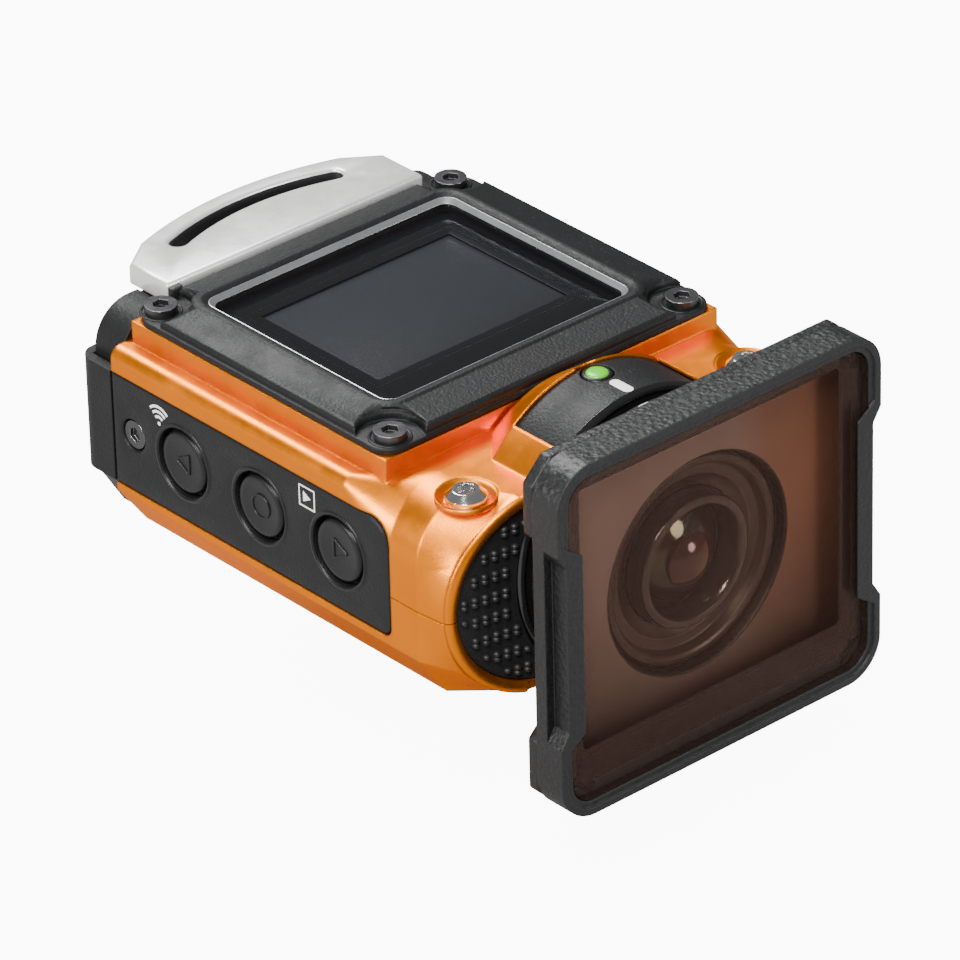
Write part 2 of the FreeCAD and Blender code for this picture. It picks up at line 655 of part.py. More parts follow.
def rear_cover():
    """The dark end cap that closes the shells, with the door's opening and the hinge's outer knuckles."""
    wide = HALF + " - (plate_thick + cover_gap)"
    half = [
        (BASE + " - 0.6", "0.4"), (wide, "chine_height - 0.4"), (wide, "cover_top - cover_round"),
        (wide + " - cover_round", "cover_top", "cover_round", 1),
        (wide + " - cover_round - 1", "cover_top"),
    ]
    cap = pad("cover_cap", "xz", mirrored(half), "rear_face", COVER_REAR)
    cheek = block("cover_cheek", wide + " - 1", HALF, "plate_rear + 0.2", COVER_REAR, "door_low",
                  "door_high")
    knuckles = [rod("cover_knuckle_%d" % index, "z", "hinge_radius", low, high, "hinge_x", "hinge_y")
                for index, (low, high) in enumerate((("door_low", "knuckle_low"),
                                                     ("knuckle_high", "door_high")))]
    webs = [block("cover_web_%d" % index, "hinge_x - 0.2", "hinge_x + hinge_radius", COVER_REAR + " - 1",
                  "hinge_y", low, high)
            for index, (low, high) in enumerate((("door_low", "knuckle_low"),
                                                 ("knuckle_high", "door_high")))]
    solid = fuse("cover_solid", [cap, cheek] + knuckles + webs)
    room = pad("cover_room", "xz", mirrored([
        (BASE + " - 3", "wall + 0.4"), (wide + " - wall", "chine_height + 0.6"),
        (wide + " - wall", "cover_top - cover_round - 1"),
        (wide + " - wall - 3", "cover_top - cover_roof"), (wide + " - wall - 5", "cover_top - cover_roof"),
    ]), "rear_face - 1", COVER_REAR + " - wall")
    opening = rounded("cover_opening", "xz", "opening_width", "opening_high - opening_low", "1.5", "0",
                      "(opening_high + opening_low) / 2", "rear_face", COVER_REAR + " + 1")
    ledge = block("bracket_ledge", "-bracket_width / 2 - 0.3", "bracket_width / 2 + 0.3", "rear_face - 1",
                  "60",
                  "bracket_top - bracket_thick - 0.2", "60")
    gap = rod("door_knuckle_room", "z", "hinge_radius + 0.25", "knuckle_low - 0.2", "knuckle_high + 0.2",
              "hinge_x", "hinge_y")
    swing = block("door_web_room", "hinge_x - 3.2", "hinge_x + 3", COVER_REAR + " - 0.4", "60",
                  "knuckle_low - 0.2", "knuckle_high + 0.2")
    pin = rod("cover_pin_hole", "z", "pin_radius + run_gap", "door_low - 1", "door_high + 1", "hinge_x",
              "hinge_y")
    holes = [rod("cover_bracket_hole_%d" % sign, "z", "screw_shank + 0.1", "cover_top - 5", "60",
                 side(sign, "12"), "rear_face + bracket_screw_set_back")
             for sign in (-1, 1)]
    node(cut("cover", solid, [room, opening, ledge, gap, swing, pin] + holes), "rear_cover")


def rear_door():
    """The hinged door, its seal, latch and hinge pin."""
    front, rear = COVER_REAR + " + fit_gap", COVER_REAR + " + fit_gap + door_thick"
    left = "-body_width / 2"
    panel = pad("door_panel", "xy", [
        ("hinge_x - hinge_radius - 0.5", front), ("hinge_x - hinge_radius - 0.5", rear),
        (left + " + 2.6", rear),
        (left, rear + " - 2.6", "2.6", 1), (left, "plate_rear + 0.25"),
        (left + " + 1.4", "plate_rear + 0.25"),
        (left + " + 1.4", front),
    ], "door_low", "door_high")
    knuckle = rod("door_knuckle", "z", "hinge_radius", "knuckle_low + 0.1", "knuckle_high - 0.1", "hinge_x",
                  "hinge_y")
    web = block("door_web", "hinge_x - hinge_radius - 1", "hinge_x", "hinge_y - 0.4", "hinge_y + 1",
                "knuckle_low + 0.1", "knuckle_high - 0.1")
    solid = fuse("door_solid", [panel, knuckle, web])
    hole = rod("door_pin_hole", "z", "pin_radius + run_gap", "door_low - 1", "door_high + 1", "hinge_x",
               "hinge_y")
    middle = "(door_low + door_high) / 2"
    track = block("latch_track", "-latch_x - latch_length / 2 - 0.15",
                  "-latch_x + latch_length / 2 + latch_stroke + 0.15",
                  rear + " - 0.9", rear + " + 2", middle + " - latch_width / 2 - 0.15",
                  middle + " + latch_width / 2 + 0.15")
    node(cut("door", solid, [hole, track]), "rear_door")
    slider = rounded("latch_plate", "xz", "latch_length", "latch_width", "0.8", "-latch_x", middle,
                     rear + " - 0.8", rear + " + 0.5")
    ribs = [block("latch_rib_%d" % index, "-latch_x - 2.2 + 2 * %d" % index,
                  "-latch_x - 1.6 + 2 * %d" % index,
                  rear + " + 0.4", rear + " + 0.9", middle + " - 1.8",
                  middle + " + 1.8") for index in range(3)]
    node(fuse("latch", [slider] + ribs), "door_latch")
    ring = rounded("door_seal_outer", "xz", "opening_width - 0.8", "opening_high - opening_low - 0.8",
                   "1.2", "0",
                   "(opening_high + opening_low) / 2", front + " - 1.6", front)
    core = rounded("door_seal_inner", "xz", "opening_width - 3.6", "opening_high - opening_low - 3.6",
                   "0.6", "0",
                   "(opening_high + opening_low) / 2", front + " - 3", front + " + 1")
    node(cut("door_seal_body", ring, [core]), "door_seal")
    node(rod("hinge_pin_body", "z", "pin_radius", "door_low + 0.4", "door_high - 0.4", "hinge_x",
             "hinge_y"), "door_hinge_pin")


# ---------------------------------------------------------------- lens

def lens():
    """Fixed collar, lock button, barrel, retaining ring, glass and image sensor."""
    flange = rod("collar_flange", "y", "collar_radius", "-collar_front + 0.6", "-collar_back - 0.1", "0",
                 "lens_height")
    lip = cone("collar_lip", "y", "collar_radius - 0.6", "collar_radius", "-collar_front",
               "-collar_front + 0.6", "0", "lens_height")
    spigot = rod("collar_spigot", "y", "spigot_radius", "-collar_back - 0.2", "-cavity_front", "0",
                 "lens_height")
    bore = rod("collar_inner", "y", "barrel_radius + 0.2", "-collar_front - 1", "-cavity_front + 1", "0",
               "lens_height")
    top = "lens_height + collar_radius"
    well = rod("lock_well", "z", "lock_radius + 0.15", top + " - lock_length - 1.5", "60", "0",
               "-lock_y - 0.55")
    node(cut("collar", fuse("collar_solid", [flange, lip, spigot]), [bore, well]), "lens_collar")
    node(rod("lock", "z", "lock_radius", top + " - lock_length", top + " + lock_proud", "0",
             "-lock_y - 0.55"), "lock_button")
    sleeve = rod("return_outer", "z", "lock_radius - 0.3", top + " - lock_length - 1.45",
                 top + " - lock_length - 0.05",
                 "0", "-lock_y - 0.55")
    hollow = rod("return_inner", "z", "lock_radius - 1.1", top + " - lock_length - 2",
                 top + " - lock_length + 1",
                 "0", "-lock_y - 0.55")
    node(cut("return_sleeve", sleeve, [hollow]), "lock_return_sleeve")

    tube = rod("barrel_tube", "y", "barrel_radius", "-barrel_front", "-barrel_back", "0", "lens_height")
    mouth = rod("barrel_mouth", "y", "recess_radius", "-barrel_front - 1", "-barrel_front + recess_depth",
                "0", "lens_height")
    funnel = cone("barrel_funnel", "y", "recess_radius", "ring_radius + 0.1",
                  "-barrel_front + recess_depth",
                  "-barrel_front + recess_depth + 1.6", "0", "lens_height")
    seat = rod("barrel_seat", "y", "ring_radius + 0.1", "-barrel_front", "-element_back", "0",
               "lens_height")
    throat = rod("barrel_throat", "y", "element_radius - 1.4", "-element_back - 1", "-barrel_back + 1", "0",
                 "lens_height")
    node(cut("barrel", tube, [mouth, funnel, seat, throat]), "lens_barrel")
    ring = rod("ring_outer", "y", "ring_radius", "-ring_front + 0.4", "-element_back - 0.05", "0",
               "lens_height")
    ring_lip = cone("ring_lip", "y", "ring_radius - 0.5", "ring_radius", "-ring_front", "-ring_front + 0.4",
                    "0", "lens_height")
    ring_bore = rod("ring_bore", "y", "element_radius + run_gap", "-ring_front - 1", "-element_back + 1",
                    "0", "lens_height")
    node(cut("retaining", fuse("ring_solid", [ring, ring_lip]), [ring_bore]), "retaining_ring")

    ball = doc.addObject("Part::Sphere", "dome_ball")
    ball_radius = "(element_radius^2 + dome_height^2) / 2 / dome_height"
    ball.setExpression("Radius", bound(ball_radius))
    place(ball, "0", "-ring_front - dome_height + %s" % ball_radius, "lens_height")
    plug = rod("dome_plug", "y", "element_radius", "-ring_front - dome_height - 1", "-element_back - 0.05",
               "0", "lens_height")
    node(common("dome", plug, ball), "front_element")
    node(rod("middle_glass", "y", "element_radius - 1.5", "-element_back + 4", "-element_back + 7", "0",
             "lens_height"), "middle_element")
    node(rod("rear_glass", "y", "element_radius - 1.5", "-element_back + 10", "-element_back + 12.5", "0",
             "lens_height"), "rear_element")
    node(block("sensor_chip", "-4.5", "4.5", "-cavity_front + 0.3", "-cavity_front + 1.5",
               "lens_height - 3.6", "lens_height + 3.6"),
         "image_sensor")
    node(block("sensor_pcb", "-10", "10", "-cavity_front + 1.55", "-cavity_front + 2.6", "lens_height - 8",
               "lens_height + 8"),
         "sensor_board")


def grips():
    """Rubber pads that fill the round pockets beside the lens."""
    for sign, word in ((-1, "left"), (1, "right")):
        plug = rod(word + "_grip_plug", "y", "grip_radius", "-front_face - 4", "-front_face + 12",
                   side(sign, "grip_spread"), "mid_height")
        core = common(word + "_grip_core", plug, sweep_drum(word + "_grip_face", "0.25"))
        back = sweep_drum(word + "_grip_back", "grip_depth")
        bore = rod(word + "_grip_bore", "y", "collar_radius + 0.3", "-front_face - 4", "0", "0",
                   "lens_height")
        node(cut(word + "_grip_body", core, [back, bore]), word + "_grip")


# ---------------------------------------------------------------- protector

def protector():
    """The square lens protector: frame, plate, bayonet ring, glass and seal, which turn about the lens axis."""
    front, back = "-guard_front", "-guard_front + guard_depth"
    slab = rounded("guard_slab", "xz", "guard_width", "guard_height", "guard_round", "0", "lens_height",
                   front, back)
    inner_width, inner_height = "guard_width - 2 * rim_width", "guard_height - 2 * rim_width"
    glass_width, glass_height = inner_width + " - 2 * glass_side", inner_height + " - 2 * glass_side"
    glass_round = "guard_round - rim_width - glass_side"
    waist = "guard_width / 2 - rim_width - grip_step"
    tall = "guard_height / 2 - rim_width"
    view = pad("guard_view", "xz", mirrored([
        (waist + " + grip_step - guard_round + rim_width", "lens_height - (%s)" % tall),
        (waist + " + grip_step", "lens_height - (%s) + guard_round - rim_width" % tall,
         "guard_round - rim_width", 1),
        (waist + " + grip_step", "lens_height - grip_half - grip_lead"),
        (waist, "lens_height - grip_half - grip_lead + grip_slope"),
        (waist, "lens_height + grip_half + grip_lead - grip_slope"),
        (waist + " + grip_step", "lens_height + grip_half + grip_lead"),
        (waist + " + grip_step", "lens_height + (%s) - guard_round + rim_width" % tall),
        (waist + " + grip_step - guard_round + rim_width", "lens_height + (%s)" % tall,
         "guard_round - rim_width", 1),
    ]), front + " - 1", front + " + glass_inset")
    window = rounded("guard_window", "xz", "2 * (%s)" % waist, inner_height + " - 2 * glass_side",
                     glass_round, "0", "lens_height", front + " - 1", back + " + 1")
    bed = rounded("guard_bed", "xz", glass_width + " + 0.3", glass_height + " + 0.3",
                  glass_round, "0", "lens_height",
                  front + " + glass_inset", back + " + 1")
    tools = [view, window, bed]
    for sign in (-1, 1):
        cheek = [
            ("guard_width / 2 + 1", "lens_height - grip_half"),
            ("guard_width / 2 + 1", "lens_height + grip_half"),
            ("guard_width / 2", "lens_height + grip_half"),
            ("guard_width / 2 - grip_cut", "lens_height + grip_half - grip_slope"),
            ("guard_width / 2 - grip_cut", "lens_height - grip_half + grip_slope"),
            ("guard_width / 2", "lens_height - grip_half"),
        ]
        if sign < 0:
            cheek = [("-(%s)" % spot[0], spot[1]) for spot in reversed(cheek)]
        tools.append(pad("guard_cheek_%d" % sign, "xz", cheek, front + " - 1", front + " + grip_front"))
    node(cut("guard", slab, tools), "protector_frame")
    glass_back = front + " + glass_inset + 0.05 + glass_thick"
    node(rounded("guard_glass", "xz", glass_width, glass_height, glass_round, "0", "lens_height",
                 front + " + glass_inset + 0.05", glass_back), "protector_glass")
    seal = rounded("guard_seal_outer", "xz", glass_width, glass_height, glass_round, "0", "lens_height",
                   glass_back, glass_back + " + 0.6")
    hollow = rounded("guard_seal_inner", "xz", glass_width + " - 3.2", glass_height + " - 3.2", "1.5", "0",
                     "lens_height", glass_back + " - 1", glass_back + " + 2")
    node(cut("guard_seal", seal, [hollow]), "protector_seal")

    rear = back + " + guard_back"
    wide, high = "guard_width / 2 - 0.2", "guard_height / 2 - 0.2"
    plate = pad("guard_plate", "xz", mirrored([
        (wide + " - back_corner", "lens_height - (%s)" % high),
        (wide, "lens_height - (%s) + back_corner" % high),
        (wide, "lens_height - back_grip_half"), (wide + " - 1.8", "lens_height - back_grip_half + 1.8"),
        (wide + " - 1.8", "lens_height + back_grip_half - 1.8"), (wide, "lens_height + back_grip_half"),
        (wide, "lens_height + (%s) - back_corner" % high),
        (wide + " - back_corner", "lens_height + (%s)" % high),
    ]), back, rear)
    plate_bore = rod("guard_plate_bore", "y", "guard_ring_inner", back + " - 1", rear + " + 1", "0",
                     "lens_height")
    node(cut("guard_plate_body", plate, [plate_bore]), "protector_plate")
    ring_back = "-collar_front - guard_ring_gap"
    ring = rod("guard_ring_outer", "y", "guard_ring_radius", rear, ring_back + " - 0.5", "0", "lens_height")
    ring_lip = cone("guard_ring_lip", "y", "guard_ring_radius", "guard_ring_radius - 0.5",
                    ring_back + " - 0.5", ring_back,
                    "0", "lens_height")
    ring_bore = rod("guard_ring_bore", "y", "guard_ring_inner", rear + " - 1", ring_back + " + 1", "0",
                    "lens_height")
    node(cut("guard_ring", fuse("guard_ring_solid", [ring, ring_lip]), [ring_bore]), "protector_ring")


# ---------------------------------------------------------------- internals

def internals():
    """Tripod bush, base screws, battery, tray, boards, ports, speaker and microphones."""
    core = rod("bush_core", "z", "bush_radius", "0", "bush_height", "0", "0")
    flange = rod("bush_flange", "z", "flange_radius", "bush_height + 0.35", "bush_height + 1.3", "0", "0")
    neck = rod("bush_neck", "z", "bush_radius", "bush_height - 1", "bush_height + 1.3", "0", "0")
    thread = rod("bush_thread", "z", "thread_radius", "-1", "thread_depth", "0", "0")
    node(cut("bush", fuse("bush_solid", [core, neck, flange]), [thread]), "tripod_bush")
    screws = []
    for index, (sign, spot) in enumerate(BOSS_SPOTS):
        x = side(sign, "boss_x")
        head = rod("base_head_%d" % index, "z", "base_screw_head", "0.3", "1.65", x, spot)
        shank = rod("base_shank_%d" % index, "z", "base_screw_shank - run_gap", "1.6", "base_screw_length",
                    x, spot)
        socket = pad_hex("base_socket_%d" % index, "1.0", x, spot, "-1", "1.1")
        screws.append(cut("base_screw_%d" % index, fuse("base_blank_%d" % index, [head, shank]), [socket]))
    node(group("base_screw_set", screws), "base_screws")

    cell = "battery_width / 2"
    rear = "rear_face - 1"
    front = "rear_face - 1 - battery_length"
    node(rounded("battery_body", "xy", "battery_width", "battery_length", "2.0", "0",
                 "rear_face - 1 - battery_length / 2",
                 "battery_low", "battery_low + battery_thick"), "battery")
    outer = block("tray_outer", "-%s - tray_wall - 0.3" % cell, "%s + tray_wall + 0.3" % cell,
                  front + " - 0.4 - tray_wall", rear,
                  "battery_low - 0.3 - tray_wall", "battery_low + battery_thick + 0.3 + tray_wall")
    inner = block("tray_inner", "-%s - 0.3" % cell, "%s + 0.3" % cell, front + " - 0.4", rear + " + 1",
                  "battery_low - 0.3", "battery_low + battery_thick + 0.3")
    node(cut("tray", outer, [inner]), "battery_tray")
    board_low, board_top = "board_height", "board_height + board_thick"
    board_rear, board_front = "rear_face - 0.5", "rear_face - 0.5 - board_length"
    node(block("board", "-board_width / 2", "board_width / 2", board_front, board_rear, board_low,
               board_top), "main_board")
    node(block("chip", "-7", "7", "-12", "2", board_top, board_top + " + 1.6"), "processor")
    node(block("memory_chip", "9", "17", "-12", "0", board_top, board_top + " + 1.1"), "memory")
    port_rear = "rear_face + 2.5"
    for label, left, right, depth, tall in (("usb_port", 8.5, 16.2, 6.0, 2.4),
                                            ("video_port", -3.0, 3.6, 7.0, 2.6),
                                            ("card_slot", -18.0, -5.6, 15.0, 1.6)):
        shell = block(label + "_shell", str(left), str(right), "%s - %g" % (port_rear, depth), port_rear,
                      board_top, board_top + " + %g" % tall)
        mouth = block(label + "_mouth", "%g" % (left + 0.35), "%g" % (right - 0.35),
                      "%s - %g" % (port_rear, depth - 1.5),
                      port_rear + " + 1", board_top + " + 0.35", board_top + " + %g" % (tall - 0.35))
        node(cut(label + "_body", shell, [mouth]), label)
    node(rod("speaker_can", "z", "5.0", "wall + 0.1", "wall + 2.6", "-14", "-12"), "speaker")
    node(group("microphone_pair", [rod("microphone_%d" % sign, "z", "2.0", "deck_height - wall - 1.4",
                                       "deck_height - wall - 0.2",
                                       side(sign, "9"), "-seat_front + 0.6") for sign in (-1, 1)]),
                                       "microphones")


# ---------------------------------------------------------------- build, check and write

shells()
display()
nose_screws()
strap_bracket()
both_sides(side_controls)
rear_cover()
rear_door()
lens()
grips()
protector()
internals()
doc.recompute()

faulty = [obj.Name for obj in doc.Objects if "Invalid" in obj.State or "Error" in obj.State]
if faulty:
    raise RuntimeError("not built: " + ", ".join(faulty))
for obj in NODES:
    if obj.Shape.isNull() or not obj.Shape.isValid():
        raise RuntimeError("%s has no valid shape" % obj.Label)
    if not obj.Shape.Solids:
        raise RuntimeError("%s has no solid" % obj.Label)

os.makedirs("parts", exist_ok=True)
for obj in NODES:
    obj.Shape.exportStep(os.path.join("parts", obj.Label + ".step"))
print(len(NODES), "sub-parts written")
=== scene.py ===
import json
import math

import bmesh
import bpy
from mathutils import Matrix, Vector

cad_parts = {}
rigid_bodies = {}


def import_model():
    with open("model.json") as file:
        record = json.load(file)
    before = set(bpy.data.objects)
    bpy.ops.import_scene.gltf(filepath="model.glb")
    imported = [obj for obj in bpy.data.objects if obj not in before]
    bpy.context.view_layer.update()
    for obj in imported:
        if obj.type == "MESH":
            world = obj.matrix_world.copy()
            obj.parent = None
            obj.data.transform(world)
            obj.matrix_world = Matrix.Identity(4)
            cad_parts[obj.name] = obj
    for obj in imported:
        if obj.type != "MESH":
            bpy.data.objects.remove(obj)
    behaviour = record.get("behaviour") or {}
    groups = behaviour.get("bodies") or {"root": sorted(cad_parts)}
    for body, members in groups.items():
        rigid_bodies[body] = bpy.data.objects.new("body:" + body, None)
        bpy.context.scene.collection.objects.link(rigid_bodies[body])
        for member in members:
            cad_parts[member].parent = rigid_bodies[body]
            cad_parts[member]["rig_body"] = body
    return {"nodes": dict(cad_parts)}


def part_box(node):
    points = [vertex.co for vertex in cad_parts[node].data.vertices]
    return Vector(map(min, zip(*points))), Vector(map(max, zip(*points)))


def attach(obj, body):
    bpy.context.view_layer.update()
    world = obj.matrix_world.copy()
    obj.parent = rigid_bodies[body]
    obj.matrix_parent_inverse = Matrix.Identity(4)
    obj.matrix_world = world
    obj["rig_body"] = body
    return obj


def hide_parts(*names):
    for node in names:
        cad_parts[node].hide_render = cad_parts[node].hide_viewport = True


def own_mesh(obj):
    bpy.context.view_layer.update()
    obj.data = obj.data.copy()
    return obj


bl_info = {
    "name": "Action camera looks",
    "version": (1, 0, 0),
    "blender": (4, 5, 0),
    "location": "View3D > Sidebar > Action camera",
    "description": "Builds the visible pieces of an action camera round its fixed frame",
    "category": "Object",
}

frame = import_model()

MM = 0.001
LENS_Z = 14.7
FRONT = -41.0
SWEEP = 120.0
SIDE = 30.25
SEAM_Z = 13.0
PAD_X, PAD_Z, BEAD_R = 15.5, 13.5, 13.35
LOCK_Y = -32.45
DOOR_FACE = 31.2
SHOULDER_X, SHOULDER_Y = 23.07, -34.26
GUARD_X, GUARD_Z = 26.5, 24.4
MATERIALS = {}


# ---------------------------------------------------------------- mesh helpers

PLACES = {
    "x": lambda u, v, w: (w, u, v),
    "y": lambda u, v, w: (u, w, v),
    "z": lambda u, v, w: (u, v, w),
}


def piece(name, bm, body, slot, material, sharp=32.0):
    """Turns a bmesh in millimetres into a finished piece that rides a body."""
    bmesh.ops.remove_doubles(bm, verts=bm.verts, dist=1e-5)
    bmesh.ops.recalc_face_normals(bm, faces=bm.faces)
    bm.transform(Matrix.Scale(MM, 4))
    mesh = bpy.data.meshes.new(name)
    bm.to_mesh(mesh)
    bm.free()
    mesh.materials.append(MATERIALS[material])
    mesh.shade_smooth()
    mesh.set_sharp_from_angle(angle=math.radians(sharp))
    thing = bpy.data.objects.new(name, mesh)
    bpy.context.scene.collection.objects.link(thing)
    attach(thing, body)
    return thing


def circle(u, v, radius, count=72):
    """An anticlockwise circle."""
    return [(u + radius * math.cos(i * math.tau / count), v + radius * math.sin(i * math.tau / count))
            for i in range(count)]


def arc(u, v, radius, start, end, count):
    """Points on an arc, ends included, angles in degrees."""
    angles = [math.radians(start + (end - start) * i / (count - 1)) for i in range(count)]
    return [(u + radius * math.cos(t), v + radius * math.sin(t)) for t in angles]


def rounded(low_u, high_u, low_v, high_v, radius, count=8):
    """An anticlockwise rounded rectangle."""
    return (arc(high_u - radius, high_v - radius, radius, 0, 90, count)
            + arc(low_u + radius, high_v - radius, radius, 90, 180, count)
            + arc(low_u + radius, low_v + radius, radius, 180, 270, count)
            + arc(high_u - radius, low_v + radius, radius, 270, 360, count))


def softened(corners, radius, count=5):
    """An anticlockwise polygon with its corners rounded."""
    loop = []
    for i, corner in enumerate(corners):
        here, before, after = Vector(corner), Vector(corners[i - 1]), Vector(corners[(i + 1) % len(corners)])
        into, out = (here - before).normalized(), (after - here).normalized()
        reach = min(radius * math.tan(into.angle(out) / 2), (here - before).length / 2.1,
                    (after - here).length / 2.1)
        start, end = here - into * reach, here + out * reach
        for k in range(count):
            t = k / (count - 1)
            point = start * (1 - t) ** 2 + here * 2 * t * (1 - t) + end * t ** 2
            loop.append((point.x, point.y))
    return loop


def shrunk(loop, inset):
    """The loop moved inwards."""
    moved = []
    for i, (u, v) in enumerate(loop):
        a, b = Vector(loop[i - 1]), Vector(loop[(i + 1) % len(loop)])
        here = Vector((u, v))
        one, two = (here - a), (b - here)
        one = one.normalized() if one.length > 1e-9 else two.normalized()
        two = two.normalized() if two.length > 1e-9 else one
        normal = Vector((-one.y, one.x)) + Vector((-two.y, two.x))
        normal.normalize()
        reach = inset / max(0.5, normal.dot(Vector((-one.y, one.x))))
        moved.append((u + normal.x * reach, v + normal.y * reach))
    return moved


def edge_profile(low, high, bevel, steps=3):
    """Insets and stations of a wall with rounded ends."""
    ends = []
    for i in range(steps + 1):
        t = math.pi / 2 * i / steps
        ends.append((bevel * (1 - math.sin(t)), bevel * (1 - math.cos(t))))
    return [(inset, low + rise) for inset, rise in ends] + [(inset, high - rise) for inset,
                                                            rise in reversed(ends)]


def skin(bm, rings, closed=False):
    """Quads between rings of equal length."""
    pairs = list(zip(rings, rings[1:])) + ([(rings[-1], rings[0])] if closed else [])
    for a, b in pairs:
        for i in range(len(a)):
            j = (i + 1) % len(a)
            bm.faces.new((a[i], a[j], b[j], b[i]))


def slab(bm, axis, outer, low, high, bevel=0.15, holes=(), hole_bevel=None):
    """A plate with rounded edges and rounded holes."""
    place = PLACES[axis]
    ends = ([], [])
    for loop, sign, soft in [(outer, 1, bevel)] + [(h, -1, hole_bevel or bevel) for h in holes]:
        rings = []
        for inset, station in edge_profile(low, high, soft):
            rings.append([bm.verts.new(place(u, v, station)) for u, v in shrunk(loop, inset * sign)])
        skin(bm, rings)
        for store, ring in zip(ends, (rings[0], rings[-1])):
            store.extend(bm.edges.get((ring[i - 1], ring[i])) for i in range(len(ring)))
    for store in ends:
        bmesh.ops.triangle_fill(bm, use_beauty=True, edges=store)
    return bm


def lathe(bm, axis, u, v, profile, count=96):
    """A turned solid; the profile gives radius and station."""
    place = PLACES[axis]
    rings = []
    for radius, station in profile:
        rings.append([bm.verts.new(place(a, b, station)) for a, b in circle(u, v, max(radius, 1e-4),
                                                                            count)])
    skin(bm, rings, closed=True)
    return bm


def strip(bm, axis, path, width, low, high):
    """A flat line of constant width along an open path."""
    left, right = [], []
    for i, point in enumerate(path):
        a, b = Vector(path[max(i - 1, 0)]), Vector(path[min(i + 1, len(path) - 1)])
        run = (b - a).normalized()
        side = Vector((-run.y, run.x)) * width / 2
        left.append(tuple(Vector(point) + side))
        right.append(tuple(Vector(point) - side))
    return slab(bm, axis, right + left[::-1], low, high, 0.01)


def ring_line(bm, axis, corners, width, low, high):
    """A closed outline drawn as a line of constant width."""
    return slab(bm, axis, corners, low, high, 0.01, [shrunk(corners, width)])


def box_line(bm, axis, low_u, high_u, low_v, high_v, width, low, high):
    """A square-cornered outline drawn as a line of constant width."""
    inner = rounded(low_u + width, high_u - width, low_v + width, high_v - width, 0.04, 3)
    return slab(bm, axis, rounded(low_u, high_u, low_v, high_v, 0.12, 3), low, high, 0.01, [inner])


def stood_in(name, node, bm, slot, material, **more):
    """A finished piece in place of a CAD node."""
    body = frame["nodes"][node]["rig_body"]
    thing = piece(name, bm, body, slot, material, **more)
    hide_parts(node)
    return thing


# ---------------------------------------------------------------- shader groups

def put(tree, kind, inputs=None, **settings):
    """Adds a node, applies its settings and feeds its inputs from sockets or plain values."""
    node = tree.nodes.new(kind)
    for label, value in settings.items():
        setattr(node, label, value)
    for label, value in (inputs or {}).items():
        if isinstance(value, bpy.types.NodeSocket):
            tree.links.new(value, node.inputs[label])
        else:
            node.inputs[label].default_value = value
    return node


def new_group(name, inputs, outputs):
    """An empty shader group with named sockets."""
    tree = bpy.data.node_groups.new(name, "ShaderNodeTree")
    for label, kind, default in inputs:
        socket = tree.interface.new_socket(label, in_out="INPUT", socket_type=kind)
        if default is not None:
            socket.default_value = default
    for label, kind in outputs:
        tree.interface.new_socket(label, in_out="OUTPUT", socket_type=kind)
    return tree, tree.nodes.new("NodeGroupInput").outputs, tree.nodes.new("NodeGroupOutput").inputs


def math_node(tree, operation, a, b=None, clamp=False):
    """A Math node fed by sockets or numbers."""
    values = {0: a} if b is None else {0: a, 1: b}
    return put(tree, "ShaderNodeMath", values, operation=operation, use_clamp=clamp).outputs[0]


def ramp(tree, value, low, high):
    """A smooth step between two values."""
    return put(tree, "ShaderNodeMapRange", {"Value": value, "From Min": low, "From Max": high},
               interpolation_type="SMOOTHSTEP").outputs["Result"]


def noise(tree, vector, scale, detail=3.0, rough=0.55):
    """A noise value."""
    return put(tree, "ShaderNodeTexNoise",
               {"Vector": vector, "Scale": scale, "Detail": detail, "Roughness": rough}).outputs["Fac"]


def object_place(tree):
    """The place on the piece, in its own coordinates."""
    return tree.nodes.new("ShaderNodeTexCoord").outputs["Object"]


def soft_edge_group():
    """Rounds the look of edges and masks them; the mask places the painted edge highlight."""
    tree, inside, out = new_group("Soft edge", [("Radius", "NodeSocketFloat", 0.0003)],
                                  [("Normal", "NodeSocketVector"), ("Mask", "NodeSocketFloat")])
    bevel = put(tree, "ShaderNodeBevel", {"Radius": inside["Radius"]}, samples=6).outputs["Normal"]
    flat = tree.nodes.new("ShaderNodeNewGeometry").outputs["Normal"]
    dot = put(tree, "ShaderNodeVectorMath", {0: bevel, 1: flat}, operation="DOT_PRODUCT")
    turn = math_node(tree, "SUBTRACT", 1.0, dot.outputs["Value"])
    tree.links.new(bevel, out["Normal"])
    tree.links.new(ramp(tree, turn, 0.02, 0.28), out["Mask"])
    return tree


def grain_group():
    """Moulded grain: pebbles over fine noise, as a normal."""
    tree, inside, out = new_group(
        "Moulded grain",
        [("Normal", "NodeSocketVector", None), ("Scale", "NodeSocketFloat", 2600.0),
         ("Depth", "NodeSocketFloat", 0.3)],
        [("Normal", "NodeSocketVector"), ("Height", "NodeSocketFloat")])
    place = object_place(tree)
    cells = put(tree, "ShaderNodeTexVoronoi", {"Vector": place, "Scale": inside["Scale"], "Smoothness": 0.6},
                feature="SMOOTH_F1")
    fine = noise(tree, place, inside["Scale"], 4.0, 0.6)
    height = math_node(tree, "ADD", math_node(tree, "MULTIPLY", cells.outputs["Distance"], -0.8), fine)
    bump = put(tree, "ShaderNodeBump", {"Distance": 0.0001, "Strength": inside["Depth"], "Height": height,
                                        "Normal": inside["Normal"]})
    tree.links.new(bump.outputs["Normal"], out["Normal"])
    tree.links.new(height, out["Height"])
    return tree


